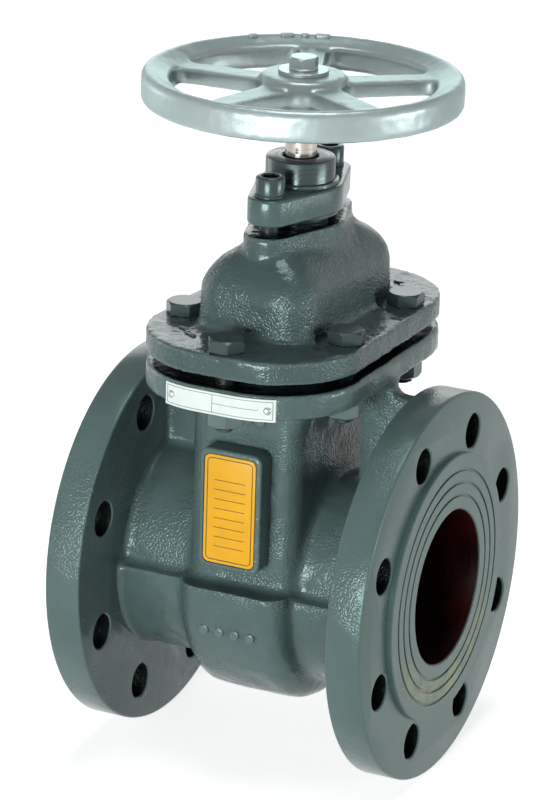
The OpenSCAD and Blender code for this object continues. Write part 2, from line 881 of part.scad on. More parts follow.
module wheel_bolt() {
    color("silver") translate([axis_x, 0, wheel_head_z])
        hex_bolt(wheel_thread, wheel_hex, wheel_head_h, wheel_head_z - hub_z - 2 * over);
}

// ---------- output ----------

body();
inlet_flange();
outlet_flange();
inlet_seat();
outlet_seat();
gasket();
bonnet();
bonnet_bolt(0);  // bonnet_bolt_1
bonnet_bolt(1);  // bonnet_bolt_2
bonnet_bolt(2);  // bonnet_bolt_3
bonnet_bolt(3);  // bonnet_bolt_4
bonnet_bolt(4);  // bonnet_bolt_5
bonnet_bolt(5);  // bonnet_bolt_6
bonnet_nut(0);  // bonnet_nut_1
bonnet_nut(1);  // bonnet_nut_2
bonnet_nut(2);  // bonnet_nut_3
bonnet_nut(3);  // bonnet_nut_4
bonnet_nut(4);  // bonnet_nut_5
bonnet_nut(5);  // bonnet_nut_6
packing();
gland_bush();
gland_flange();
gland_bolt_front();
gland_bolt_rear();
gland_washer_front();
gland_washer_rear();
name_plate();
rating_plate();
rivet_left();
rivet_right();
wedge();
wedge_ring_inlet();
wedge_ring_outlet();
stem_nut();
stem();
handwheel();
wheel_washer();
lock_washer();
wheel_bolt();
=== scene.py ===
"""Studio scene of a flanged wedge gate valve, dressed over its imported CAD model.

Shapes are made in millimetres with the stem on the Z axis and the bore along X, and are
moved into the CAD frame, in metres, when a piece is finished.
"""

import logging
import math
from collections.abc import Callable, Iterable
from dataclasses import dataclass
from enum import Enum

import bmesh
import bpy
from mathutils import Matrix, Vector, noise


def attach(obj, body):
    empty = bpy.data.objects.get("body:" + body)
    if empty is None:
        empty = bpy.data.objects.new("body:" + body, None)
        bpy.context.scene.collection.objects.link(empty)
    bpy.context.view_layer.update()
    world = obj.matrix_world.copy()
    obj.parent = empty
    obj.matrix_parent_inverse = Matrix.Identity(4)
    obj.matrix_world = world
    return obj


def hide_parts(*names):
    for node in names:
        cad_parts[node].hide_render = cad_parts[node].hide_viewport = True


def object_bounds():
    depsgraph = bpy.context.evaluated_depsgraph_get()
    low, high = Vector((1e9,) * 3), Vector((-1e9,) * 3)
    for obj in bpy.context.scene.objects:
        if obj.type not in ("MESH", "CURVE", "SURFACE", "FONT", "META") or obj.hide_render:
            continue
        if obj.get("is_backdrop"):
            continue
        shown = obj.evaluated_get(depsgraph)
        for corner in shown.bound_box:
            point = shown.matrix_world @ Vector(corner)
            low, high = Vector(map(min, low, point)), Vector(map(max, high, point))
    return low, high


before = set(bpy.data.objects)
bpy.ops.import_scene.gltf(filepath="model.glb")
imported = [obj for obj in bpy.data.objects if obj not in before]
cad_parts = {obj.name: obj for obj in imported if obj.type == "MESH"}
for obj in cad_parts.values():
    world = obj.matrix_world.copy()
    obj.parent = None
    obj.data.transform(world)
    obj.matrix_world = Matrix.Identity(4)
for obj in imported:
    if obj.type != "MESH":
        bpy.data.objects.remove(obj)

CAD_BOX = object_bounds()
LOG = logging.getLogger("gate_valve")
VALVE_BODY = "valve_body"
WHEEL_BODY = "handwheel_and_stem"
TURN = 2.0 * math.pi
# Half the angle of one side of a hexagon
HEX_HALF = math.radians(30)
# A millimetre in metres
MM = 0.001
# Place of the stem along the bore
STEM_X = 90.0
# Points nearer than this are one point in a finished piece
WELD = 0.002
# Angle over which an edge stays sharp in a finished piece, and over which it can be rounded
CREASE = math.radians(32)
SHARP = math.radians(30)
# How far the neighbours of a point rise over it where a skin counts as hollow
HOLLOW = 0.03
# The inlet and the outlet, or the front and the rear
SIDES = (-1, 1)

Point = tuple[float, float, float]
Colour = tuple[float, float, float]


class Axis(Enum):
    """Direction that a round shape is made along."""

    X = Matrix.Rotation(math.pi / 2, 4, "Y")
    Y = Matrix.Rotation(-math.pi / 2, 4, "X")
    Z = Matrix.Identity(4)


class Joining(Enum):
    """How two closed solids are combined."""

    FUSE = "UNION"
    CUT = "DIFFERENCE"
    KEEP = "INTERSECT"


def linked(name: str, data: bpy.types.ID) -> bpy.types.Object:
    """Return a new object of a mesh, a lamp or a camera, linked to the scene."""
    thing = bpy.data.objects.new(name, data)
    bpy.context.scene.collection.objects.link(thing)
    return thing


# ---------------------------------------------------------------- shapes


class Shape:
    """A closed solid in millimetres, made and changed with bmesh operators."""

    def __init__(self, mesh: bmesh.types.BMesh | None = None) -> None:
        """Start from a bmesh, or from nothing."""
        self.bm = mesh if mesh is not None else bmesh.new()

    @classmethod
    def rod(
        cls,
        axis: Axis,
        start: float,
        end: float,
        radius: float,
        centre: Point = (0.0, 0.0, 0.0),
        end_radius: float | None = None,
        segments: int = 96,
    ) -> "Shape":
        """Make a round bar or cone.

        Args:
            axis: Direction of the bar.
            start: Where it starts along that direction.
            end: Where it ends.
            radius: Radius at the start.
            centre: Offset of its axis.
            end_radius: Radius at the end, if it differs.
            segments: Number of sides.

        Returns:
            The solid.
        """
        shape = cls()
        place = Matrix.Translation(centre) @ axis.value @ Matrix.Translation((0, 0, (start + end) / 2))
        bmesh.ops.create_cone(
            shape.bm, cap_ends=True, segments=segments, radius1=radius,
            radius2=radius if end_radius is None else end_radius, depth=end - start, matrix=place,
        )
        return shape

    @classmethod
    def rods(
        cls, places: Iterable[tuple[float, float]], low: float, high: float, radius: float, segments: int = 32
    ) -> "Shape":
        """Make equal upright bars.

        Args:
            places: The x and y of each bar.
            low: Height of the undersides.
            high: Height of the tops.
            radius: Their radius.
            segments: Number of sides.

        Returns:
            The solids.
        """
        bars = (cls.rod(Axis.Z, low, high, radius, (x, y, 0.0), segments=segments) for x, y in places)
        return cls().with_parts(*bars)

    @classmethod
    def block(cls, low: Point, high: Point) -> "Shape":
        """Make a box between its lowest and its highest corner."""
        shape = cls()
        size, middle = Vector(high) - Vector(low), (Vector(high) + Vector(low)) / 2
        place = Matrix.Translation(middle) @ Matrix.Diagonal((*size, 1.0))
        bmesh.ops.create_cube(shape.bm, size=1.0, matrix=place)
        return shape

    @classmethod
    def face(cls, points: Iterable[tuple[float, float]], height: float, corners: Iterable[int], radius: float,
             steps: int) -> "Shape":
        """Make a flat face with some round corners.

        Args:
            points: The x and y of each point round it.
            height: Height of the face.
            corners: Which of the points are rounded.
            radius: Radius of these corners.
            steps: Segments in each corner.

        Returns:
            The face, not yet a solid.
        """
        shape = cls()
        verts = [shape.bm.verts.new((x, y, height)) for x, y in points]
        shape.bm.faces.new(verts)
        return shape._bevelled([verts[index] for index in corners], radius, steps, "VERTICES")

    @classmethod
    def outline(cls, width: float, depth: float, corner: float, height: float, steps: int = 12) -> "Shape":
        """Make a flat rectangle with round corners, centred on the stem.

        Args:
            width: Size along the bore.
            depth: Size across the bore.
            corner: Radius of the corners.
            height: Height of the face.
            steps: Segments in each corner.

        Returns:
            The face, not yet a solid.
        """
        points = [(sx * width / 2, sy * depth / 2) for sx, sy in ((-1, -1), (1, -1), (1, 1), (-1, 1))]
        return cls.face(points, height, range(len(points)), corner, steps)

    @classmethod
    def slab(
        cls, width: float, depth: float, corner: float, low: float, high: float, steps: int = 12
    ) -> "Shape":
        """Make an upright prism with round corners, centred on the stem."""
        return cls.outline(width, depth, corner, low, steps).raised([(high - low, 1.0, 1.0)])

    @classmethod
    def lozenge(cls, reach: float, end_radius: float, radius: float, low: float, high: float) -> "Shape":
        """Make an upright prism like a tight band round three circles, the middle one on the stem.

        Args:
            reach: Distance of the end circles from the stem, across the bore.
            end_radius: Radius of the end circles.
            radius: Radius of the middle circle.
            low: Height of the underside.
            high: Height of the top.

        Returns:
            The solid.
        """
        shape = cls()
        for y, size in ((-reach, end_radius), (0.0, radius), (reach, end_radius)):
            for level in (low, high):
                place = Matrix.Translation((0.0, y, level))
                bmesh.ops.create_circle(shape.bm, segments=72, radius=size, matrix=place)
        hull = bmesh.ops.convex_hull(shape.bm, input=shape.bm.verts[:])
        inside = {v for v in hull["geom_interior"] + hull["geom_unused"] if isinstance(v, bmesh.types.BMVert)}
        bmesh.ops.delete(shape.bm, geom=list(inside), context="VERTS")
        parts = {"verts": shape.bm.verts[:], "edges": shape.bm.edges[:]}
        bmesh.ops.dissolve_limit(shape.bm, angle_limit=0.001, **parts)
        return shape.righted()

    @classmethod
    def turned(
        cls,
        axis: Axis,
        profile: Iterable[tuple[float, float]],
        centre: Point = (0.0, 0.0, 0.0),
        closed: bool = True,
        segments: int = 96,
    ) -> "Shape":
        """Turn a profile round an axis, as on a lathe.

        Args:
            axis: The lathe's axis.
            profile: Radius and length along the axis of each point.
            centre: Offset of the axis.
            closed: Whether the profile ends where it starts. An open one ends on the axis.
            segments: Number of steps round.

        Returns:
            The solid.
        """
        shape = cls()
        points = [shape.bm.verts.new((radius, 0.0, length)) for radius, length in profile]
        pairs = list(zip(points, points[1:]))
        if closed:
            pairs.append((points[-1], points[0]))
        edges = [shape.bm.edges.new(pair) for pair in pairs]
        bmesh.ops.spin(
            shape.bm, geom=points + edges, cent=(0, 0, 0), axis=(0, 0, 1), angle=TURN, steps=segments,
            use_merge=True,
        )
        bmesh.ops.remove_doubles(shape.bm, verts=shape.bm.verts[:], dist=1e-4)
        place = Matrix.Translation(centre) @ axis.value
        bmesh.ops.transform(shape.bm, matrix=place, verts=shape.bm.verts[:])
        return shape.righted()

    def raised(self, levels: Iterable[tuple[float, float, float]]) -> "Shape":
        """Extrude an outline upwards through levels.

        Args:
            levels: The rise of each level, and its scale along X and Y against the level below.

        Returns:
            This shape, closed.
        """
        face: list[bmesh.types.BMFace] = self.bm.faces[:]
        for index, (rise, scale_x, scale_y) in enumerate(levels):
            made = bmesh.ops.extrude_face_region(self.bm, geom=face)["geom"]
            if index:
                bmesh.ops.delete(self.bm, geom=face, context="FACES_ONLY")
            verts = [g for g in made if isinstance(g, bmesh.types.BMVert)]
            face = [g for g in made if isinstance(g, bmesh.types.BMFace)]
            bmesh.ops.translate(self.bm, vec=(0, 0, rise), verts=verts)
            bmesh.ops.scale(self.bm, vec=(scale_x, scale_y, 1.0), verts=verts)
        return self.righted()

    def righted(self) -> "Shape":
        """Point every face outwards."""
        bmesh.ops.recalc_face_normals(self.bm, faces=self.bm.faces[:])
        return self

    def copied(self) -> "Shape":
        """Return a copy of this shape."""
        return Shape(self.bm.copy())

    def moved(self, x: float = 0.0, y: float = 0.0, z: float = 0.0) -> "Shape":
        """Move this shape."""
        bmesh.ops.translate(self.bm, vec=(x, y, z), verts=self.bm.verts[:])
        return self

    def turned_by(self, degrees: float, axis: str = "Z") -> "Shape":
        """Turn this shape about an axis."""
        turn = Matrix.Rotation(math.radians(degrees), 3, axis)
        bmesh.ops.rotate(self.bm, cent=(0, 0, 0), matrix=turn, verts=self.bm.verts[:])
        return self

    def mirrored(self, side: int) -> "Shape":
        """Mirror this shape along the bore for the inlet side, which is -1."""
        if side < 0:
            bmesh.ops.scale(self.bm, vec=(-1, 1, 1), verts=self.bm.verts[:])
            bmesh.ops.reverse_faces(self.bm, faces=self.bm.faces[:])
        return self

    def _bevelled(self, geom: list, width: float, steps: int, affect: str) -> "Shape":
        """Round some points of a face, or some edges of a solid."""
        bmesh.ops.bevel(
            self.bm, geom=geom, offset=width, offset_type="OFFSET", segments=steps, profile=0.5,
            affect=affect, material=-1, clamp_overlap=affect == "EDGES",
        )
        return self

    def softened(
        self, width: float, steps: int = 3, chosen: Callable[[bmesh.types.BMEdge], bool] = lambda edge: True
    ) -> "Shape":
        """Round the sharp edges.

        Args:
            width: Width of the rounding.
            steps: Segments across it.
            chosen: Which of the sharp edges to round. All of them, if left out.

        Returns:
            This shape.
        """
        edges = [
            e for e in self.bm.edges
            if len(e.link_faces) == 2 and e.calc_face_angle(0.0) > SHARP and chosen(e)
        ]
        return self._bevelled(edges, width, steps, "EDGES")

    def with_parts(self, *others: "Shape") -> "Shape":
        """Put other shapes into this one, without joining their surfaces."""
        for other in others:
            spare = bpy.data.meshes.new("spare")
            other.bm.to_mesh(spare)
            self.bm.from_mesh(spare)
            bpy.data.meshes.remove(spare)
        return self

    def _object(self) -> bpy.types.Object:
        """Return a temporary object of this shape."""
        mesh = bpy.data.meshes.new("working")
        self.bm.to_mesh(mesh)
        return linked("working", mesh)

    def _modified(self, kind: str, *spent: bpy.types.Object, **settings: object) -> "Shape":
        """Return what a modifier makes of this shape, and remove the spent objects.

        Args:
            kind: Type of the modifier.
            spent: Objects that it takes up.
            settings: Values for its properties.

        Returns:
            The new solid.
        """
        thing = self._object()
        modifier = thing.modifiers.new("step", kind)
        for key, value in settings.items():
            setattr(modifier, key, value)
        bpy.context.view_layer.update()
        final = thing.evaluated_get(bpy.context.evaluated_depsgraph_get()).to_mesh()
        shape = Shape()
        shape.bm.from_mesh(final)
        thing.to_mesh_clear()
        for item in (thing, *spent):
            mesh = item.data
            bpy.data.objects.remove(item)
            bpy.data.meshes.remove(mesh)
        return shape

    def joined(self, how: Joining, other: "Shape") -> "Shape":
        """Return this solid combined with another."""
        second = other._object()
        return self._modified("BOOLEAN", second, solver="MANIFOLD", operation=how.value, object=second)

    def fused(self, *others: "Shape") -> "Shape":
        """Return this solid with others joined on, one by one."""
        whole = self
        for other in others:
            whole = whole.joined(Joining.FUSE, other)
        return whole

    def cut(self, *others: "Shape") -> "Shape":
        """Return this solid with others taken out, one by one."""
        rest = self
        for other in others:
            rest = rest.joined(Joining.CUT, other)
        return rest

    def kept(self, other: "Shape") -> "Shape":
        """Return the part of this solid that lies inside another."""
        return self.joined(Joining.KEEP, other)

    def skinned(self, voxel: float) -> "Shape":
        """Return one even skin over all parts, as a casting has, with facets of a given size."""
        return self._modified("REMESH", mode="VOXEL", voxel_size=voxel)

    def thinned(self, share: float) -> "Shape":
        """Return this solid with only a share of its faces, flat areas first."""
        return self._modified("DECIMATE", ratio=share)

    @staticmethod
    def _hollow(vert: bmesh.types.BMVert) -> bool:
        """Whether the skin bends inwards at a point."""
        away = Vector()
        for edge in vert.link_edges:
            away += edge.other_vert(vert).co - vert.co
        return away.dot(vert.normal) > HOLLOW

    def relaxed(self, rounds: int, hollows: bool = False) -> "Shape":
        """Smooth the skin, which gives its corners the fillets of a casting.

        Args:
            rounds: How often to smooth.
            hollows: Whether to smooth only the hollow places, which leaves the outer edges.

        Returns:
            This shape.
        """
        for _ in range(rounds):
            self.bm.normal_update()
            verts = [v for v in self.bm.verts if not hollows or self._hollow(v)]
            bmesh.ops.smooth_vert(
                self.bm, verts=verts, factor=0.5, use_axis_x=True, use_axis_y=True, use_axis_z=True
            )
        return self

    def roughened(self, depth: float, size: float) -> "Shape":
        """Give the skin the slight unevenness that a sand mould leaves.

        Args:
            depth: Largest move of a point.
            size: Distance between the swells.

        Returns:
            This shape.
        """
        self.bm.normal_update()
        for vert in self.bm.verts:
            vert.co += vert.normal * (depth * noise.noise(vert.co / size))
        return self

    def piece(
        self,
        name: str,
        finish: bpy.types.Material,
        replaces: Iterable[str] = (),
        slot: str = "casting",
        body: str = VALVE_BODY,
    ) -> None:
        """Turn this shape into a finished piece of the model.

        Args:
            name: The piece's name.
            finish: Its material.
            replaces: The CAD nodes that it stands for.
            slot: Not used.
            body: The body that it rides on.
        """
        bmesh.ops.remove_doubles(self.bm, verts=self.bm.verts[:], dist=WELD)
        self.moved(x=STEM_X)
        bmesh.ops.scale(self.bm, vec=(MM, MM, MM), verts=self.bm.verts[:])
        mesh = bpy.data.meshes.new(name)
        self.bm.to_mesh(mesh)
        self.bm.free()
        mesh.shade_smooth()
        mesh.set_sharp_from_angle(angle=CREASE)
        mesh.materials.append(finish)
        thing = linked(name, mesh)
        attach(thing, body)
        if replaces:
            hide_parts(*replaces)
        LOG.info("%s: %d faces", name, len(mesh.polygons))


# ---------------------------------------------------------------- materials


class Value:
    """A number or a colour on its way through a node tree. Plain arithmetic adds the nodes for it."""

    def __init__(self, graph: "Graph", socket: bpy.types.NodeSocket) -> None:
        """Hold one output of a node."""
        self.graph, self.socket = graph, socket

    def __add__(self, other: "Number") -> "Value":
        """Return the sum."""
        return self.graph.math("ADD", self, other)

    def __sub__(self, other: "Number") -> "Value":
        """Return the difference."""
        return self.graph.math("SUBTRACT", self, other)

    def __mul__(self, other: "Number") -> "Value":
        """Return the product, which is where both of two masks are set."""
        return self.graph.math("MULTIPLY", self, other)

    def __mod__(self, other: "Number") -> "Value":
        """Return the remainder."""
        return self.graph.math("MODULO", self, other)

    def __or__(self, other: "Number") -> "Value":
        """Return the greater value, which is where one of two masks is set."""
        return self.graph.math("MAXIMUM", self, other)

    def __lt__(self, other: "Number") -> "Value":
        """Return a mask for where this is less."""
        return self.graph.math("LESS_THAN", self, other)

    def __gt__(self, other: "Number") -> "Value":
        """Return a mask for where this is greater."""
        return self.graph.math("GREATER_THAN", self, other)

    def __abs__(self) -> "Value":
        """Return the value without its sign."""
        return self.graph.math("ABSOLUTE", self)

    def ramp(
        self, low: "Number", high: "Number", to_low: float = 0.0, to_high: float = 1.0, soft: bool = True
    ) -> "Value":
        """Map this from one range to another, and clamp it."""
        inputs = dict(enumerate((self, low, high, to_low, to_high)))
        kind = "SMOOTHSTEP" if soft else "LINEAR"
        made = self.graph.node("ShaderNodeMapRange", inputs, interpolation_type=kind)
        return Value(self.graph, made.outputs[0])

    def rise(self, low: float, high: float) -> "Value":
        """Return a mask that rises between two places, given in millimetres."""
        return self.ramp(low * MM, high * MM)


Number = Value | float
Source = Value | bpy.types.NodeSocket | Colour | float


class Graph:
    """Short calls for building a node tree."""

    def __init__(self, tree: bpy.types.NodeTree) -> None:
        """Work on one node tree."""
        self.tree = tree

    @classmethod
    def of(cls, owner: bpy.types.Material | bpy.types.World) -> "Graph":
        """Return the emptied graph of a material or of the world."""
        owner.use_nodes = True
        owner.node_tree.nodes.clear()
        return cls(owner.node_tree)

    def join(self, source: Source, target: bpy.types.NodeSocket) -> None:
        """Link a socket to another, or set a plain number or colour on it."""
        socket = source.socket if isinstance(source, Value) else source
        if isinstance(socket, bpy.types.NodeSocket):
            self.tree.links.new(socket, target)
        else:
            target.default_value = (*socket, 1.0) if isinstance(socket, tuple) else socket

    def node(
        self, kind: str, inputs: dict[str | int, Source] | None = None, **settings: object
    ) -> bpy.types.Node:
        """Add a node.

        Args:
            kind: Its type.
            inputs: What to join to its inputs, by their name or number.
            settings: Values for its properties.

        Returns:
            The node.
        """
        made = self.tree.nodes.new(kind)
        for key, value in settings.items():
            setattr(made, key, value)
        for key, source in (inputs or {}).items():
            self.join(source, made.inputs[key])
        return made

    def surface(self, shader: bpy.types.Node, kind: str = "ShaderNodeOutputMaterial") -> None:
        """Make a shader the result of this graph."""
        self.node(kind, {"Surface": shader.outputs[0]})

    def math(self, operation: str, first: Number, second: Number = 0.0) -> Value:
        """Return the result of a sum on two values."""
        return Value(self, self.node("ShaderNodeMath", {0: first, 1: second}, operation=operation).outputs[0])

    def length(self, first: Value, second: Value) -> Value:
        """Return the distance that two values at right angles make."""
        return self.math("SQRT", self.math("POWER", first, 2.0) + self.math("POWER", second, 2.0))

    def blend(self, share: Number, first: Value | Colour, second: Value | Colour) -> Value:
        """Return a mix of two colours."""
        made = self.node("ShaderNodeMix", {0: share, 6: first, 7: second}, data_type="RGBA")
        return Value(self, made.outputs[2])

    def place(self) -> Value:
        """Return the object coordinates."""
        return Value(self, self.node("ShaderNodeTexCoord").outputs["Object"])

    def parts(self, vector: Source) -> tuple[Value, ...]:
        """Return the X, Y and Z of a vector."""
        made = self.node("ShaderNodeSeparateXYZ", {0: vector})
        return tuple(Value(self, socket) for socket in made.outputs)

    def noise(self, vector: Value, size: Number, detail: float = 4.0, rough: float = 0.5) -> Value:
        """Return a noise value.

        Args:
            vector: Coordinates in metres.
            size: Number of features in a metre.
            detail: Octaves.
            rough: Strength of the finer octaves.

        Returns:
            The noise, from 0 to 1.
        """
        inputs = {"Vector": vector, "Scale": size, "Detail": detail, "Roughness": rough}
        return Value(self, self.node("ShaderNodeTexNoise", inputs).outputs["Fac"])

    def seen(self) -> Value:
        """Return a mask for what is seen directly, in a reflection or through glass."""
        rays = self.node("ShaderNodeLightPath").outputs
        camera, glossy = Value(self, rays["Is Camera Ray"]), Value(self, rays["Is Glossy Ray"])
        return camera | glossy | Value(self, rays["Is Transmission Ray"])


class Effect(Enum):
    """Surface effects that several materials share."""

    CAST_GRAIN = "cast_grain"
    PAINT_MOTTLE = "paint_mottle"
    TOOL_MARKS = "tool_marks"
    EDGES = "edges"


class Effects:
    """The shared node groups, each built when it is first used."""

    def __init__(self) -> None:
        """Start with none built."""
        self.made: dict[Effect, bpy.types.NodeTree] = {}

    def use(self, graph: Graph, effect: Effect, **values: float) -> dict[str, Value]:
        """Place an effect in a material.

        Args:
            graph: The material's graph.
            effect: Which effect.
            values: Values for its inputs.

        Returns:
            Its results, by name.
        """
        if effect not in self.made:
            self.made[effect] = getattr(self, f"_{effect.value}")()
        inputs = {name.capitalize(): value for name, value in values.items()}
        node = graph.node("ShaderNodeGroup", node_tree=self.made[effect])
        for name, value in inputs.items():
            graph.join(value, node.inputs[name])
        return {socket.name: Value(graph, socket) for socket in node.outputs}

    @staticmethod
    def _group(
        name: str, inputs: dict[str, float], outputs: Iterable[str]
    ) -> tuple[Graph, dict[str, Value], Callable]:
        """Start a group with number sockets.

        Args:
            name: The group's name.
            inputs: The name and first value of each input.
            outputs: The name of each output.

        Returns:
            Its graph, its inputs by name, and a call that joins its outputs and returns the group.
        """
        tree = bpy.data.node_groups.new(name, "ShaderNodeTree")
        kind = "NodeSocketFloat"
        for socket, value in inputs.items():
            tree.interface.new_socket(socket, in_out="INPUT", socket_type=kind).default_value = value
        for socket in outputs:
            tree.interface.new_socket(socket, in_out="OUTPUT", socket_type=kind)
        graph = Graph(tree)
        source = graph.node("NodeGroupInput")

        def end(*results: Value) -> bpy.types.NodeTree:
            """Join the results to the outputs, in their order."""
            graph.node("NodeGroupOutput", dict(zip(outputs, results)))
            return tree

        return graph, {socket: Value(graph, source.outputs[socket]) for socket in inputs}, end

    def _cast_grain(self) -> bpy.types.NodeTree:
        """Pebbled skin that sand leaves on a casting, with slow swells under it.

        Sides that face along the bore are rougher by the share that Lean gives, and tops are calmer.
        """
        inputs = {"Grains": 700.0, "Patches": 28.0, "Bare": 0.42, "Lean": 0.0}
        graph, given, end = self._group("Cast grain", inputs, ("Height", "Rough patch"))
        place, grains, bare = graph.place(), given["Grains"], given["Bare"]
        cells = graph.node(
            "ShaderNodeTexVoronoi", {"Vector": place, "Scale": grains, "Smoothness": 0.5}, feature="SMOOTH_F1"
        )
        finer = graph.noise(place, grains * 1.6, 1.0, 0.4)
        pebbles = Value(graph, cells.outputs["Distance"]) * -1.0 + finer * 0.45
        patch = graph.noise(place, given["Patches"], 2.0, 0.5).ramp(bare, bare + 0.2, 0.12, 1.0)
        facing = graph.parts(graph.node("ShaderNodeNewGeometry").outputs["Normal"])
        patch = patch | abs(facing[0]).ramp(0.25, 0.7) * given["Lean"]
        patch = patch * facing[2].ramp(0.6, 0.95, 1.0, 0.3)
        swell = graph.noise(place, grains * 0.16, 2.0, 0.4)
        return end(pebbles * patch + swell * 0.6, patch)

    def _paint_mottle(self) -> bpy.types.NodeTree:
        """Slow and quick changes of tone in a coat of paint."""
        inputs = {"Patches": 22.0, "Specks": 260.0}
        graph, given, end = self._group("Paint mottle", inputs, ("Tone", "Specks"))
        place = graph.place()
        slow = graph.noise(place, given["Patches"], 5.0, 0.6)
        quick = graph.noise(place, given["Specks"], 2.0, 0.5)
        return end(slow.ramp(0.3, 0.7), quick.ramp(0.62, 0.74))

    def _tool_marks(self) -> bpy.types.NodeTree:
        """Fine rings that turning leaves round an upright axis through the stem."""
        graph, given, end = self._group("Tool marks", {"Pitch": 2600.0, "Waver": 0.4}, ("Height", "Tone"))
        x, y, z = graph.parts(graph.place())
        out = x - STEM_X * MM
        around = graph.math("ARCTAN2", y, out) * given["Waver"]
        rings = {0: around, 1: z * given["Pitch"], 2: graph.length(out, y) * given["Pitch"]}
        span = Value(graph, graph.node("ShaderNodeCombineXYZ", rings).outputs[0])
        marks = graph.noise(span, 1.0, 2.0, 0.5)
        return end(marks, marks.ramp(0.35, 0.65))

    def _edges(self) -> bpy.types.NodeTree:
        """Masks for outer edges, lightened partly for thin paint and partly as a painted highlight, and for
        corners, darkened as painted shade.
        """
        graph, given, end = self._group("Edges", {"Reach": 0.06}, ("Edge", "Corner"))
        bent = Value(graph, graph.node("ShaderNodeNewGeometry").outputs["Pointiness"])
        outer, inner = given["Reach"] + 0.51, given["Reach"] * -1.0 + 0.49
        return end(bent.ramp(0.51, outer), bent.ramp(0.49, inner))


EFFECTS = Effects()


def shaded(colour: Colour, factor: float) -> Colour:
    """Return a colour made darker or lighter by a factor."""
    return tuple(c * factor for c in colour)


@dataclass(frozen=True)
class Finish:
    """A finish with grain, mottling, edges lightened for thin paint and as a painted highlight, and painted
    shade in corners and gaps.
    """

    name: str
    colour: Colour
    roughness: float = 0.35
    metallic: float = 0.0
    specular: float = 0.5
    sheen: Colour = (0.78, 1.0, 0.98)
    grains: float = 700.0
    depth: float = 0.10
    bare: float = 0.42
    lean: float = 0.0
    mottle: float = 0.12
    # Edges are lightened partly for thin paint and partly as a painted highlight; corners are darkened as
    # painted shade.
    edge: Colour | None = None
    edge_share: float = 0.55
    corner: Colour | None = None
    corner_shade_share: float = 0.6
    # Height bands painted near black as shade in the narrow gaps between parts, and their colour.
    gap_shade_bands: tuple[tuple[float, float], ...] = ()
    gap_shade_colour: Colour = (0.006, 0.008, 0.008)

    def start(self) -> tuple[bpy.types.Material, Graph, bpy.types.Node]:
        """Return an empty material with its graph and its shader."""
        material = bpy.data.materials.new(self.name)
        graph = Graph.of(material)
        shader = graph.node("ShaderNodeBsdfPrincipled", {
            "Metallic": self.metallic, "Specular IOR Level": self.specular, "Specular Tint": self.sheen,
        })
        graph.surface(shader)
        return material, graph, shader

    def grain(self, graph: Graph) -> dict[str, Value]:
        """Return the cast grain of this finish."""
        return EFFECTS.use(graph, Effect.CAST_GRAIN, grains=self.grains, bare=self.bare, lean=self.lean)

    def tone(self, graph: Graph) -> Value:
        """Return the mottled colour, with edges lightened for thin paint and as a painted highlight, and
        corners and gap bands darkened as painted shade.
        """
        mottle = EFFECTS.use(graph, Effect.PAINT_MOTTLE)["Tone"]
        dark, light = shaded(self.colour, 1.0 - self.mottle), shaded(self.colour, 1.0 + self.mottle)
        colour = graph.blend(mottle, dark, light)
        # Painted highlight and painted shade: outer edges turn lighter and corners turn darker.
        places = (("Edge", self.edge, self.edge_share), ("Corner", self.corner, self.corner_shade_share))
        for place, tint, share in places:
            if tint:
                colour = graph.blend(EFFECTS.use(graph, Effect.EDGES)[place] * share, colour, tint)
        # Painted shade: bands of height in the gaps between parts are painted near black.
        for low, high in self.gap_shade_bands:
            height = graph.parts(graph.place())[2]
            colour = graph.blend((height > low * MM) * (height < high * MM), colour, self.gap_shade_colour)
        return colour

    def gloss(self, share: Value, least: float, most: float) -> Value:
        """Return the roughness, between two factors of its plain value."""
        return share.ramp(0.0, 1.0, self.roughness * least, self.roughness * most, soft=False)

    def finished(
        self, graph: Graph, shader: bpy.types.Node, colour: Value, rough: Value, height: Value
    ) -> None:
        """Give the shader its colour, its roughness, and bumps of this finish's depth."""
        bump = graph.node("ShaderNodeBump", {"Strength": 1.0, "Distance": self.depth * MM, "Height": height})
        graph.join(colour, shader.inputs["Base Color"])
        graph.join(rough, shader.inputs["Roughness"])
        graph.join(bump.outputs["Normal"], shader.inputs["Normal"])

    def build(self) -> bpy.types.Material:
        """Return the material."""
        material, graph, shader = self.start()
        grain = self.grain(graph)
        rough = self.gloss(grain["Rough patch"], 0.85, 1.15)
        self.finished(graph, shader, self.tone(graph), rough, grain["Height"])
        return material


@dataclass(frozen=True)
class TurnedFinish(Finish):
    """Bright or painted metal with the rings of a lathe tool."""

    pitch: float = 2600.0

    def build(self) -> bpy.types.Material:
        """Return the material."""
        material, graph, shader = self.start()
        marks = EFFECTS.use(graph, Effect.TOOL_MARKS, pitch=self.pitch)
        colour = graph.blend(marks["Tone"], shaded(self.colour, 1.0 - self.mottle), self.colour)
        self.finished(graph, shader, colour, self.gloss(marks["Tone"], 0.8, 1.2), marks["Height"])
        return material


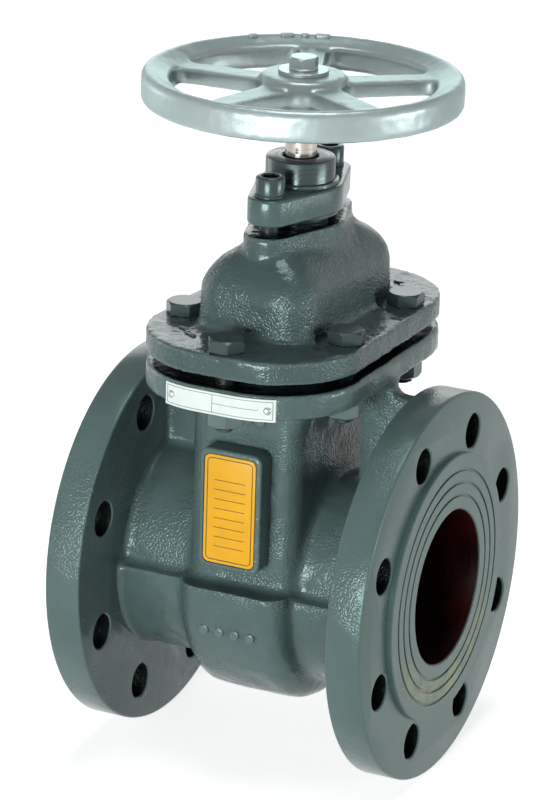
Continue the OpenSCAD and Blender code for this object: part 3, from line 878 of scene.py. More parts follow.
@dataclass(frozen=True)
class CastingFinish(Finish):
    """Paint on the main casting: rough outside, smooth on the end faces, a red primer inside darkened as
    painted shade and lightened towards the outlet as painted light, and painted shade in the bolt holes.
    """

    face_colour: Colour = (0.072, 0.116, 0.106)
    # Red primer, darkened to near black as painted shade inside the bore and chamber.
    primer: Colour = (0.009, 0.0012, 0.0012)
    # Lighter primer in patches towards the outlet end, as painted light where light enters the bore, over
    # this span of X in millimetres.
    primer_painted_light: Colour = (0.05, 0.004, 0.005)
    primer_painted_light_x: tuple[float, float] = (120.0, 175.0)
    # Near-black painted shade on the walls of the flange bolt holes.
    hole_shade_colour: Colour = (0.010, 0.012, 0.012)
    stain: Colour = (0.24, 0.27, 0.12)
    rust: Colour = (0.26, 0.08, 0.06)
    stain_heights: tuple[float, float] = (-12.0, -48.0)
    stain_inner: tuple[float, float] = (44.0, 49.0)
    stain_outer: tuple[float, float] = (64.0, 58.0)
    face_from: float = 86.0
    bore_radius: float = 40.4
    chamber_half_w: float = 25.3
    chamber_half_d: float = 51.3
    chamber_low: float = -6.0
    chamber_top: float = 118.0
    belly_inner_r: float = 63.0
    hole_circle_r: float = 80.0
    hole_r: float = 9.15
    hole_count: int = 8
    flange_from: float = 67.5

    def inside(self, graph: Graph, along: Value, from_bore: Value) -> Value:
        """Return a mask for the bores and the chamber.

        Args:
            graph: The material's graph.
            along: Distance from the stem along the bore.
            from_bore: Distance from the bore's axis.

        Returns:
            The mask.
        """
        _, y, z = graph.parts(graph.place())
        within = (from_bore < self.belly_inner_r * MM) | (z > self.chamber_low * MM)
        limits = ((along, self.chamber_half_w), (abs(y), self.chamber_half_d), (z, self.chamber_top))
        for value, limit in limits:
            within = within * (value < limit * MM)
        return within | (from_bore < self.bore_radius * MM)

    def hole_shade_mask(self, graph: Graph, along: Value, from_bore: Value) -> Value:
        """Return a mask for the walls of the flange bolt holes, which are painted near black as shade.

        Args:
            graph: The material's graph.
            along: Distance from the stem along the bore.
            from_bore: Distance from the bore's axis.

        Returns:
            The mask.
        """
        _, y, z = graph.parts(graph.place())
        sector = TURN / self.hole_count
        around = (graph.math("ARCTAN2", z, y) + TURN) % sector - sector / 2
        across = from_bore * graph.math("SINE", around)
        out = from_bore * graph.math("COSINE", around) - self.hole_circle_r * MM
        return (graph.length(across, out) < self.hole_r * MM) * (along > self.flange_from * MM)

    def build(self) -> bpy.types.Material:
        """Return the material."""
        material, graph, shader = self.start()
        grain = self.grain(graph)
        mottle = EFFECTS.use(graph, Effect.PAINT_MOTTLE, patches=40.0, specks=180.0)["Tone"]
        place = graph.place()
        x, y, z = graph.parts(place)
        along, from_bore = abs(x - STEM_X * MM), graph.length(y, z)
        face = along.rise(self.face_from - 1.0, self.face_from)
        primed = self.inside(graph, along, from_bore)
        colour = graph.blend(face * 0.85, self.tone(graph), self.face_colour)
        ring = from_bore.rise(*self.stain_inner) * from_bore.rise(*self.stain_outer)
        wet = z.rise(*self.stain_heights) * ring * (face * 0.75)
        spill = graph.noise(place, 55.0, 4.0, 0.6).ramp(0.36, 0.62)
        colour = graph.blend(wet * spill, colour, self.stain)
        spots = graph.noise(place, 120.0, 3.0, 0.5).ramp(0.6, 0.72)
        colour = graph.blend(wet * spots, colour, self.rust)
        # Painted light: the primer turns lighter in patches towards the outlet end of the bore.
        primer = graph.blend(mottle * x.rise(*self.primer_painted_light_x) * 0.8, self.primer, self.primer_painted_light)
        colour = graph.blend(primed, colour, primer)
        # Painted shade: the bolt hole walls are painted near black.
        colour = graph.blend(self.hole_shade_mask(graph, along, from_bore), colour, self.hole_shade_colour)
        rough = self.gloss(grain["Rough patch"], 0.9, 1.15) + face * 0.06 + primed * 0.06
        calm = face.ramp(0.0, 1.0, 1.0, 0.16, soft=False) * primed.ramp(0.0, 1.0, 1.0, 0.2, soft=False)
        self.finished(graph, shader, colour, rough, grain["Height"] * calm)
        return material


@dataclass(frozen=True)
class PlateFinish(Finish):
    """Printed enamel on a thin metal plate."""

    depth: float = 0.02
    grains: float = 1500.0
    bare: float = 0.5
    speck_colour: Colour = (0.1, 0.05, 0.01)

    def build(self) -> bpy.types.Material:
        """Return the material."""
        material, graph, shader = self.start()
        mottle = EFFECTS.use(graph, Effect.PAINT_MOTTLE, patches=60.0, specks=900.0)
        colour = graph.blend(mottle["Tone"], shaded(self.colour, 1.0 - self.mottle), self.colour)
        colour = graph.blend(mottle["Specks"] * 0.12, colour, self.speck_colour)
        rough = self.gloss(mottle["Tone"], 0.8, 1.2)
        self.finished(graph, shader, colour, rough, self.grain(graph)["Height"])
        return material


@dataclass(frozen=True)
class Palette:
    """All finishes of the valve, built once."""

    casting: bpy.types.Material
    bonnet: bpy.types.Material
    gland: bpy.types.Material
    bush: bpy.types.Material
    bolts: bpy.types.Material
    nuts: bpy.types.Material
    screws: bpy.types.Material
    stem: bpy.types.Material
    wheel: bpy.types.Material
    washer: bpy.types.Material
    gasket: bpy.types.Material
    packing: bpy.types.Material
    brass: bpy.types.Material
    wedge: bpy.types.Material
    amber: bpy.types.Material
    ink: bpy.types.Material
    white: bpy.types.Material
    grey_ink: bpy.types.Material

    @classmethod
    def mixed(cls) -> "Palette":
        """Build every finish."""
        bolt_paint = (0.034, 0.047, 0.048)
        # The edge colour is lighter, for thin paint and as a painted highlight; the corner colour is painted
        # shade.
        skin = {"edge": (0.15, 0.205, 0.20), "corner": (0.012, 0.018, 0.018), "grains": 850.0}
        fixing = {"specular": 0.4, "depth": 0.05, "grains": 900.0, "bare": 0.5}
        finishes = {
            "casting": CastingFinish(
                "casting_paint", (0.072, 0.108, 0.106), 0.22, specular=0.34, depth=0.36, bare=0.42, lean=0.15,
                # Painted shade on the cover flange's top, in the gap under the bonnet.
                gap_shade_bands=((116.3, 121.0),), **skin,
            ),
            "bonnet": Finish(
                # The bonnet's paint is a darker copy of the casting's paint, as painted shade on the dome.
                "bonnet_paint", (0.054, 0.081, 0.082), 0.2, specular=0.35, depth=0.42, bare=0.38, lean=0.9,
                # Painted shade under the bonnet's flange, and on the ears' tops under the gland.
                gap_shade_bands=((120.0, 122.3), (181.2, 183.0)), **skin,
            ),
            "gland": Finish(
                "gland_paint", (0.060, 0.092, 0.090), 0.2, specular=0.4, grains=1050.0, depth=0.22, bare=0.5,
                # Painted shade in the corners, and on the gland's underside over the ears.
                lean=0.6, corner=skin["corner"], gap_shade_bands=((186.0, 187.0),),
            ),
            "bush": TurnedFinish(
                "bush_paint", (0.030, 0.038, 0.040), 0.26, specular=0.6, depth=0.006, pitch=700.0
            ),
            # Painted shade on the bolt shanks, in the gap between the flanges.
            "bolts": Finish("bolt_paint", bolt_paint, 0.24, gap_shade_bands=((116.9, 121.7),), **fixing),
            # The nuts' paint is a lighter copy of the bolts' paint, as painted light on the nuts under the
            # flange.
            "nuts": Finish("nut_paint", (0.105, 0.140, 0.137), 0.22, **fixing),
            # Painted shade on the screw shanks, in the gap under the gland.
            "screws": Finish("screw_paint", bolt_paint, 0.24, gap_shade_bands=((181.7, 186.7),), **fixing),
            "stem": TurnedFinish(
                "stem_steel", (0.52, 0.475, 0.44), 0.14, metallic=1.0, sheen=(1.0, 1.0, 1.0), depth=0.006,
                mottle=0.16,
            ),
            "wheel": Finish(
                "wheel_paint", (0.345, 0.40, 0.40), 0.40, metallic=0.5, specular=0.4, depth=0.16,
                grains=600.0,
                # Edges lightened for thin paint and as a painted highlight, corners darkened as painted
                # shade.
                bare=0.52, mottle=0.07, edge=(0.70, 0.76, 0.75), corner=(0.32, 0.38, 0.38),
            ),
            "washer": Finish(
                "zinc", (0.42, 0.45, 0.45), 0.30, metallic=0.8, depth=0.02, grains=1200.0, mottle=0.2
            ),
            "gasket": Finish("gasket_sheet", (0.004, 0.004, 0.005), 0.8, depth=0.05, grains=1600.0),
            "packing": Finish("packing_braid", (0.02, 0.02, 0.02), 0.7, depth=0.3, grains=450.0),
            "brass": TurnedFinish(
                "seat_brass", (0.58, 0.36, 0.12), 0.28, metallic=1.0, depth=0.02, mottle=0.25
            ),
            "wedge": Finish("wedge_primer", (0.045, 0.006, 0.006), 0.5, depth=0.15, mottle=0.35),
            "amber": PlateFinish(
                "amber_enamel", (0.78, 0.375, 0.012), 0.36, specular=0.3, depth=0.01, mottle=0.06
            ),
            "ink": PlateFinish("dark_ink", (0.16, 0.07, 0.006), 0.4),
            "white": PlateFinish(
                "white_enamel", (0.71, 0.74, 0.72), 0.3, specular=0.4, depth=0.01, mottle=0.04,
                speck_colour=(0.5, 0.52, 0.52),
            ),
            "grey_ink": PlateFinish("grey_ink", (0.22, 0.24, 0.24), 0.4),
        }
        return cls(**{name: finish.build() for name, finish in finishes.items()})


# ---------------------------------------------------------------- the valve


@dataclass
class CoverJoint:
    """Sizes that the body, the bonnet and their bolts share."""

    width: float = 113.0
    depth: float = 179.0
    corner: float = 47.0
    underside: float = 103.6
    body_top: float = 116.8
    bonnet_low: float = 121.8
    bonnet_top: float = 133.2
    facing: float = 1.5
    facing_inset: float = 18.0
    hole_radius: float = 5.75
    bolts: tuple[tuple[float, float, float], ...] = (
        (0.0, -78.0, 30.0),
        (44.5, -35.5, 12.0),
        (44.5, 35.5, 0.0),
        (0.0, 78.0, 24.0),
        (-44.5, 35.5, 8.0),
        (-44.5, -35.5, 40.0),
    )

    def slab(self, low: float, high: float, inset: float = 0.0) -> Shape:
        """Return a plate of the cover's outline, set back by an inset."""
        return Shape.slab(self.width - 2 * inset, self.depth - 2 * inset, self.corner - inset, low, high, 20)

    def holes(self, low: float, high: float) -> Shape:
        """Return the shafts of all the bolt holes."""
        return Shape.rods([(x, y) for x, y, _ in self.bolts], low, high, self.hole_radius)


@dataclass
class BodyCasting:
    """The body with both end flanges, which is one casting."""

    palette: Palette
    joint: CoverJoint
    voxel: float = 1.5
    chamber_w: float = 60.0
    chamber_d: float = 116.0
    chamber_corner: float = 10.0
    side_wall: float = 5.0
    end_wall: float = 7.0
    belly_r: float = 71.0
    belly_round: float = 12.0
    belly_wall: float = 9.0
    belly_top: float = 3.0
    neck_r: float = 51.0
    lower_neck_r: float = 58.0
    neck_ledge: float = 0.5
    flange_r: float = 100.0
    flange_back: float = 68.0
    flange_front: float = 87.0
    face_to_stem: float = 90.0
    raised_r: float = 69.0
    bore_r: float = 40.0
    bolt_circle_r: float = 80.0
    bolt_hole_r: float = 9.0
    bolt_count: int = 8
    grooves: tuple[float, ...] = (47.5, 54.0, 60.5)
    groove_half_w: float = 0.6
    groove_deep: float = 0.8
    rib_half_t: float = 5.5
    rib_in: float = 40.0
    rib_saddle_z: float = 97.0
    rib_hollow: float = 5.0
    seat_x: float = 15.3
    seat_r: float = 46.0
    seat_depth: float = 17.0
    seat_angle: float = 5.0
    pad_w: float = 34.0
    pad_h: float = 63.0
    pad_z: float = 46.5
    pad_reach: float = 12.0
    pad_corner: float = 5.0
    pad_rim: float = 2.5
    pad_round: float = 1.6
    plate_t: float = 0.8
    cavity_corner: float = 5.0
    disc_round: float = 1.3
    hole_flare: float = 0.8
    groove_ease: float = 0.25
    sunk: float = 3.0
    pip_round: float = 0.8
    pad_pips: tuple[float, ...] = (3.0, 10.0)
    pad_pip_z: float = 92.5
    belly_pips: tuple[float, ...] = (-13.0, -4.5, 4.0, 12.5)
    belly_pip_angle: float = -16.0

    def belly(self) -> Shape:
        """Return the round lower part, up to its ledge."""
        half = self.chamber_w / 2
        drum = Shape.rod(Axis.X, -half, half, self.belly_r).softened(self.belly_round, 6)
        reach = self.belly_r + 5.0
        return drum.kept(Shape.block((-half - 5.0, -reach, -reach), (half + 5.0, reach, self.belly_top)))

    def necks(self) -> Shape:
        """Return both necks, wider below than above."""
        end, reach = self.flange_back + 3.0, self.lower_neck_r + 5.0
        below = Shape.block((-end - 5.0, -reach, -reach), (end + 5.0, reach, self.neck_ledge))
        upper, lower = (Shape.rod(Axis.X, -end, end, radius) for radius in (self.neck_r, self.lower_neck_r))
        return upper.with_parts(lower.kept(below))

    def rib(self) -> Shape:
        """Return the thin web between the cover flange and the outlet flange, with a saddle between them."""
        half, edge, far = self.rib_half_t, self.joint.width / 2, self.flange_back + 5.0
        saddle = self.rib_saddle_z
        web = Shape.block((self.rib_in, -half, 10.0), (far, half, self.joint.underside + 4.0))
        notch = Shape.block((edge, -half - 2.0, saddle), (far + 5.0, half + 2.0, self.joint.underside + 8.0))
        corner = lambda e: all(v.co.x < edge + 0.1 and v.co.z < saddle + 0.1 for v in e.verts)
        notch.softened(self.rib_hollow, 5, corner)
        return web.cut(notch)

    def rough_form(self) -> Shape:
        """Return the parts that the sand mould rounds into each other."""
        joint = self.joint
        form = Shape.slab(self.chamber_w, self.chamber_d, self.chamber_corner, 0.0, joint.underside + 8.0)
        form.with_parts(self.belly(), self.necks(), joint.slab(joint.underside, joint.body_top))
        for side in SIDES:
            disc = Shape.rod(Axis.X, self.flange_back + 1.0, self.flange_front - 3.0, self.flange_r - 3.0)
            form.with_parts(disc.mirrored(side), self.rib().mirrored(side))
        return form

    def crisp_parts(self) -> Shape:
        """Return the end flanges and the gasket's facing, which have sharp, lightly rounded edges."""
        joint = self.joint
        plates = joint.slab(joint.body_top - 2.0, joint.body_top + joint.facing, joint.facing_inset)
        for side in SIDES:
            disc = Shape.rod(Axis.X, self.flange_back, self.flange_front, self.flange_r, segments=160)
            plates.with_parts(disc.softened(self.disc_round).mirrored(side))
        return plates

    def pad(self) -> Shape:
        """Return the pad for the name plate, with the plate's pocket."""
        width, height, corner, rim = self.pad_w, self.pad_h, self.pad_corner, self.pad_rim
        top = self.pad_reach + self.sunk
        pad = Shape.slab(width, height, corner, 0.0, top, steps=6)
        pad.softened(self.pad_round, 3, lambda e: all(v.co.z > self.pad_reach for v in e.verts))
        pocket = Shape.slab(
            width - 2 * rim, height - 2 * rim, corner - rim / 2, top - self.plate_t,
            self.pad_reach + 5.0, steps=6,
        )
        return pad.cut(pocket).turned_by(90.0, "X").moved(y=self.sunk - self.chamber_d / 2, z=self.pad_z)

    def bolt_holes(self) -> Shape:
        """Return the shafts of the flange bolt holes, with a touch of chamfer."""
        cutter = Shape()
        back, front, radius, flare = self.flange_back, self.flange_front, self.bolt_hole_r, self.hole_flare
        mouth = radius + flare + 2.0
        profile = (
            (0.0, back - 2.0), (mouth, back - 2.0), (radius, back + flare),
            (radius, front - flare), (mouth, front + 2.0), (0.0, front + 2.0),
        )
        for side in SIDES:
            for index in range(self.bolt_count):
                angle = TURN * (index + 0.5) / self.bolt_count
                centre = (0.0, self.bolt_circle_r * math.cos(angle), self.bolt_circle_r * math.sin(angle))
                hole = Shape.turned(Axis.X, profile, centre, closed=False, segments=48)
                cutter.with_parts(hole.mirrored(side))
        return cutter

    def hollow(self) -> Shape:
        """Return the space inside: chamber, belly, bores and seat pockets."""
        half_w, reach, end = self.chamber_w / 2 - self.side_wall, self.belly_r, self.face_to_stem + 5.0
        depth, ledge = self.chamber_d - 2 * self.end_wall, self.belly_top - self.belly_wall
        chamber = Shape.slab(
            2 * half_w, depth, self.cavity_corner, ledge - 1.0, self.joint.body_top + 5.0, steps=6
        )
        drum = Shape.rod(Axis.X, -half_w, half_w, self.belly_r - self.belly_wall)
        lower = drum.kept(Shape.block((-reach, -reach, -reach), (reach, reach, ledge)))
        hollow = chamber.fused(lower, Shape.rod(Axis.X, -end, end, self.bore_r, segments=128))
        for side in SIDES:
            pocket = Shape.rod(Axis.X, 0.0, self.seat_depth, self.seat_r).turned_by(self.seat_angle, "Y")
            hollow = hollow.fused(pocket.moved(x=self.seat_x).mirrored(side))
        return hollow

    def cast_marks(self) -> Shape:
        """Return small raised foundry pips above the pad and on the belly."""
        wall, angle = -self.chamber_d / 2, math.radians(self.belly_pip_angle)
        out, height = self.belly_r * math.cos(angle), self.belly_r * math.sin(angle)
        spots = [(x, self.pad_pip_z, 3.0, wall - 1.3, wall + self.sunk) for x in self.pad_pips]
        spots += [(x, height, 2.6, -out - 1.1, -out + 4.0) for x in self.belly_pips]
        marks = Shape()
        for x, z, radius, front, back in spots:
            pip = Shape.rod(Axis.Y, front, back, radius, (x, 0.0, z), segments=24)
            marks.with_parts(pip.softened(self.pip_round, 2))
        return marks

    def raised_face(self, side: int) -> Shape:
        """Return the turned gasket face with its sealing grooves."""
        low, high, ease = self.flange_front - 1.0, self.face_to_stem, self.groove_ease
        profile = [(self.bore_r, low), (self.bore_r, high - 0.8), (self.bore_r + 0.8, high)]
        for radius in self.grooves:
            inner, outer = radius - self.groove_half_w, radius + self.groove_half_w
            profile += [
                (inner - ease, high), (inner, high - ease), (inner, high - self.groove_deep),
                (outer, high - self.groove_deep), (outer, high - ease), (outer + ease, high),
            ]
        profile += [(self.raised_r - 0.6, high), (self.raised_r, high - 0.6), (self.raised_r, low)]
        return Shape.turned(Axis.X, profile, segments=160).mirrored(side)

    def build(self) -> None:
        """Make the casting and its two gasket faces."""
        joint, paint = self.joint, self.palette.casting
        skin = self.rough_form().skinned(self.voxel).relaxed(3).relaxed(12, hollows=True)
        skin.roughened(0.35, 11.0).roughened(0.16, 3.6)
        skin = skin.fused(self.crisp_parts(), self.pad(), self.cast_marks())
        skin = skin.cut(self.hollow(), self.bolt_holes())
        skin = skin.cut(joint.holes(joint.underside - 3.0, joint.body_top + 5.0))
        skin.thinned(0.7).piece("valve_casting", paint, ("body", "inlet_flange", "outlet_flange"))
        for side, name in zip(SIDES, ("inlet_gasket_face", "outlet_gasket_face")):
            self.raised_face(side).piece(name, paint)


@dataclass
class Bonnet:
    """The domed cover with the ears that hold the gland."""

    palette: Palette
    joint: CoverJoint
    voxel: float = 1.3
    dome_w: float = 65.0
    dome_d: float = 116.0
    dome_corner: float = 17.0
    dome_h: float = 42.0
    dome_top_w: float = 24.0
    dome_wall: float = 5.0
    cavity_w: float = 50.0
    cavity_d: float = 102.0
    cavity_corner: float = 5.0
    levels: int = 12
    shoulder_from: float = 0.4
    shoulder_in: float = 1.0
    shoulder_turn: float = 21.0
    spot_r: float = 16.0
    spot_h: float = 6.0
    ear_top: float = 181.6
    ear_end_r: float = 12.5
    ear_mid_r: float = 23.5
    gland_bolt_y: float = 34.0
    box_r: float = 15.0
    box_deep: float = 16.5
    bolt_hole_r: float = 5.15
    bolt_hole_deep: float = 20.0
    stem_hole_r: float = 8.6
    marks: tuple[tuple[float, float, float, float], ...] = (
        (-33.0, -59.0, 6.0, 70.0), (-29.0, -63.0, 4.0, 10.0), (-25.0, -66.0, 6.0, 60.0),
        (27.0, 66.0, 6.0, 80.0), (31.0, 61.0, 5.0, 20.0), (35.0, 57.0, 6.0, 75.0), (38.5, 53.0, 4.0, 15.0),
    )

    def shoulder(self, share: float) -> float:
        """Return how far in the dome's side stands at a share of its height: straight, then round."""
        start, most = self.shoulder_from, self.shoulder_turn
        if share < start:
            return self.shoulder_in / start * share
        return self.shoulder_in + most * ((share - start) / (1.0 - start)) ** 3.0

    def dome(self, wall: float, low: float, high: float) -> Shape:
        """Return the dome's form between two heights, set in by a wall.

        Args:
            wall: Distance inside the outer form.
            low: Height of its foot.
            high: Height of its top.

        Returns:
            The solid.
        """
        insets = [self.shoulder(level / self.levels) + wall for level in range(self.levels + 1)]
        most = (self.dome_w - self.dome_top_w) / 2
        sizes = [(self.dome_w - 2 * min(inset, most), self.dome_d - 2 * inset) for inset in insets]
        rise = (high - low) / self.levels
        steps = [(rise, above[0] / below[0], above[1] / below[1]) for below, above in zip(sizes, sizes[1:])]
        return Shape.outline(*sizes[0], self.dome_corner - wall, low, 8).raised(steps)

    def cast_marks(self) -> Shape:
        """Return small raised foundry bars at both ends of the flange."""
        marks = Shape()
        top = self.joint.bonnet_top
        for x, y, length, turn in self.marks:
            bar = Shape.slab(2.2, length, 1.0, top - 2.0, top + 0.9, 4).softened(0.5, 2)
            marks.with_parts(bar.turned_by(turn).moved(x=x, y=y))
        return marks

    def build(self) -> None:
        """Make the bonnet."""
        joint = self.joint
        foot, low, inset = joint.bonnet_top, joint.bonnet_low, joint.facing_inset
        middle = foot + self.dome_h / 2
        ears = Shape.lozenge(self.gland_bolt_y, self.ear_end_r, self.ear_mid_r, middle, self.ear_top)
        form = self.dome(0.0, foot - 6.0, foot + self.dome_h).with_parts(ears, joint.slab(low, foot))
        skin = form.skinned(self.voxel).relaxed(3).relaxed(14, hollows=True)
        skin.roughened(0.35, 10.0).roughened(0.2, 3.4)
        skin = skin.fused(joint.slab(low - joint.facing, low + 2.0, inset), self.cast_marks())
        sides = [(x, y) for x, y, _ in joint.bolts if x]
        skin = skin.cut(Shape.rods(sides, foot, foot + self.spot_h, self.spot_r, 64))
        box_floor, over = self.ear_top - self.box_deep, self.ear_top + 3.0
        chamber = Shape.slab(self.cavity_w, self.cavity_d, self.cavity_corner, low - 5.0, box_floor)
        hollow = self.dome(self.dome_wall, low - 3.0, box_floor - self.dome_wall).kept(chamber)
        shafts = Shape.rod(Axis.Z, box_floor - 20.0, box_floor + 1.0, self.stem_hole_r, segments=48)
        shafts = shafts.fused(Shape.rod(Axis.Z, box_floor, over, self.box_r, segments=64))
        ends = [(0.0, side * self.gland_bolt_y) for side in SIDES]
        shafts.with_parts(Shape.rods(ends, self.ear_top - self.bolt_hole_deep, over, self.bolt_hole_r))
        skin = skin.cut(hollow, shafts, joint.holes(low - 5.0, foot + 3.0))
        skin.thinned(0.85).piece("bonnet_casting", self.palette.bonnet, ("bonnet",))


@dataclass
class Gland:
    """The gland flange, its bush, screws and washers."""

    palette: Palette
    bolt_y: float = 34.0
    end_r: float = 11.0
    mid_r: float = 22.0
    low: float = 186.8
    thick: float = 13.3
    collar_r: float = 19.5
    collar_h: float = 2.0
    bush_r: float = 17.4
    bush_top: float = 213.1
    skirt_r: float = 14.7
    skirt_low: float = 177.6
    shoulder: float = 2.0
    hole_r: float = 9.0
    screw_hole_r: float = 5.5
    head_r: float = 7.3
    head_h: float = 9.0
    socket_flats: float = 8.0
    socket_deep: float = 5.0
    thread_r: float = 5.0
    screw_low: float = 162.6
    washer_r: float = 7.5
    washer_t: float = 1.5

    def flange(self) -> Shape:
        """Return the lozenge-shaped flange with its collar."""
        low, top = self.low, self.low + self.thick
        plate = Shape.lozenge(self.bolt_y, self.end_r, self.mid_r, low, top)
        plate.softened(1.3, 3, lambda e: abs(e.verts[0].co.z - e.verts[1].co.z) < 0.1)
        collar = Shape.rod(Axis.Z, top - 2.0, top + self.collar_h, self.collar_r).softened(0.7, 2)
        holes = Shape.rod(Axis.Z, low - 2.0, top + 5.0, self.bush_r + 0.15)
        ends = [(0.0, side * self.bolt_y) for side in SIDES]
        holes.with_parts(Shape.rods(ends, low - 2.0, top + 2.0, self.screw_hole_r))
        return plate.fused(collar).cut(holes)

    def bush(self) -> Shape:
        """Return the turned bush with its shoulder and skirt."""
        hole, skirt, collar, radius = self.hole_r, self.skirt_r, self.collar_r, self.bush_r
        foot, seat, top = self.skirt_low, self.low - self.shoulder, self.bush_top
        return Shape.turned(Axis.Z, (
            (hole, foot), (skirt - 0.5, foot), (skirt, foot + 0.5), (skirt, seat), (collar, seat),
            (collar, self.low),
            (radius, self.low), (radius, top - 0.9), (radius - 0.3, top - 0.3), (radius - 0.9, top),
            (hole + 0.6, top), (hole, top - 0.6),
        ))

    def screw(self) -> Shape:
        """Return a socket-head screw on the stem's axis."""
        thread_r, head_r, foot = self.thread_r, self.head_r, self.screw_low
        seat = self.low + self.thick + self.washer_t
        top = seat + self.head_h
        body = Shape.turned(Axis.Z, (
            (0.0, foot), (thread_r - 0.8, foot), (thread_r, foot + 0.8), (thread_r, seat),
            (head_r - 0.3, seat), (head_r, seat + 0.3), (head_r, top - 1.1), (head_r - 0.4, top - 0.4),
            (head_r - 1.1, top), (0.0, top),
        ), closed=False, segments=64)
        corner = self.socket_flats / 2 / math.cos(HEX_HALF)
        socket = Shape.rod(Axis.Z, top - self.socket_deep, top + 2.0, corner, segments=6)
        mouth = Shape.rod(Axis.Z, top - 0.8, top + 0.8, corner - 0.5, end_radius=corner + 0.9, segments=48)
        return body.cut(socket.fused(mouth))

    def build(self) -> None:
        """Make the gland's pieces."""
        palette = self.palette
        self.flange().piece("gland_plate", palette.gland, ("gland_flange",))
        self.bush().piece("gland_sleeve", palette.bush, ("gland_bush",), "bush_paint")
        seat = self.low + self.thick
        for side, place, turn in zip(SIDES, ("front", "rear"), (8.0, 20.0)):
            screw = self.screw().turned_by(turn)
            washer = washer_shape(self.thread_r + 0.2, self.washer_r, seat, self.washer_t)
            for shape, name, finish, node in (
                (screw, "screw", palette.screws, "bolt"), (washer, "ring", palette.bolts, "washer")
            ):
                placed = shape.moved(y=side * self.bolt_y)
                placed.piece(f"gland_{name}_{place}", finish, (f"gland_{node}_{place}",), "bolt_paint")


def washer_shape(inner: float, outer: float, low: float, thick: float) -> Shape:
    """Return a flat washer with eased edges.

    Args:
        inner: Radius of its hole.
        outer: Radius of its rim.
        low: Height of its underside.
        thick: Its thickness.

    Returns:
        The solid, on the stem's axis.
    """
    ease, top = 0.25, low + thick
    return Shape.turned(Axis.Z, (
        (inner, low), (outer - ease, low), (outer, low + ease), (outer, top - ease),
        (outer - ease, top), (inner + ease, top), (inner, top - ease),
    ), segments=64)


def hexagon(flats: float, low: float, high: float, bottom: bool = False) -> Shape:
    """Return a hexagon prism with the round chamfers of a bolt head or nut.

    Args:
        flats: Width across the flats.
        low: Height of its underside.
        high: Height of its top.
        bottom: Whether the underside is chamfered, as the top is.

    Returns:
        The solid, on the stem's axis.
    """
    corner = flats / 2 / math.cos(HEX_HALF)
    flat, rim, drop = flats / 2 * 0.97, corner + 0.05, 1.35
    prism = Shape.rod(Axis.Z, low, high, corner, segments=6)
    foot = [(flat, low), (rim, low + drop)] if bottom else [(rim, low)]
    profile = [(0.0, low), *foot, (rim, high - drop), (flat, high), (0.0, high)]
    return prism.kept(Shape.turned(Axis.Z, profile, closed=False, segments=72))


def thread(radius: float, low: float, high: float, pitch: float) -> Shape:
    """Return a screw thread: a ridge wound up a core, with an eased lower end.

    Args:
        radius: Outer radius.
        low: Height of the lower end.
        high: Height of the upper end.
        pitch: Rise in one turn.

    Returns:
        The solid, on the stem's axis.
    """
    inner, steps = radius - pitch * 0.66, 24
    turns, start = max(int((high - low) / pitch), 1), low + pitch * 0.5
    ridge = Shape()
    outline = ((inner - 0.3, -0.42), (inner - 0.3, 0.42), (radius, 0.07), (radius, -0.07))
    face = ridge.bm.faces.new([ridge.bm.verts.new((r, 0.0, start + h * pitch)) for r, h in outline])
    bmesh.ops.spin(
        ridge.bm, geom=[face], cent=(0, 0, 0), axis=(0, 0, 1), angle=TURN * turns,
        dvec=(0, 0, pitch / steps), steps=steps * turns,
    )
    core = Shape.turned(Axis.Z, (
        (0.0, low), (inner - 0.4, low), (inner, low + 0.4), (inner, high), (0.0, high),
    ), closed=False, segments=48)
    return core.with_parts(ridge.righted())


@dataclass
class CoverBolts:
    """The six bolts and nuts that hold the bonnet down."""

    palette: Palette
    joint: CoverJoint
    flats: float = 17.0
    head_h: float = 6.6
    nut_h: float = 8.4
    stub: float = 3.5
    thread_r: float = 5.0
    pitch: float = 1.5

    def bolt(self) -> Shape:
        """Return one bolt on the stem's axis."""
        seat = self.joint.bonnet_top
        nut_low = self.joint.underside - self.nut_h
        head = hexagon(self.flats, seat + 0.4, seat + self.head_h)
        collar = Shape.rod(Axis.Z, seat, seat + 1.0, self.flats / 2 * 0.95, segments=64)
        shank = Shape.rod(Axis.Z, nut_low + 1.0, seat + 1.0, self.thread_r - 0.05, segments=48)
        bolt = head.fused(collar, shank)
        return bolt.with_parts(thread(self.thread_r, nut_low - self.stub, nut_low + 2.0, self.pitch))

    def nut(self) -> Shape:
        """Return one nut on the stem's axis."""
        high = self.joint.underside
        low = high - self.nut_h
        wall = self.thread_r + 0.1
        hole = Shape.turned(Axis.Z, (
            (0.0, low - 1.0), (self.thread_r + 1.4, low - 1.0), (wall, low + 0.6), (wall, high + 1.0),
            (0.0, high + 1.0),
        ), closed=False, segments=48)
        return hexagon(self.flats, low, high, bottom=True).cut(hole)

    def build(self) -> None:
        """Make all bolts and nuts, each at its own turn."""
        bolt, nut = self.bolt(), self.nut()
        for index, (x, y, turn) in enumerate(self.joint.bolts, start=1):
            for shape, kind, finish in ((bolt, "bolt", self.palette.bolts), (nut, "nut", self.palette.nuts)):
                placed = shape.copied().turned_by(turn).moved(x=x, y=y)
                placed.piece(f"cover_{kind}_{index}", finish, (f"bonnet_{kind}_{index}",), "bolt_paint")


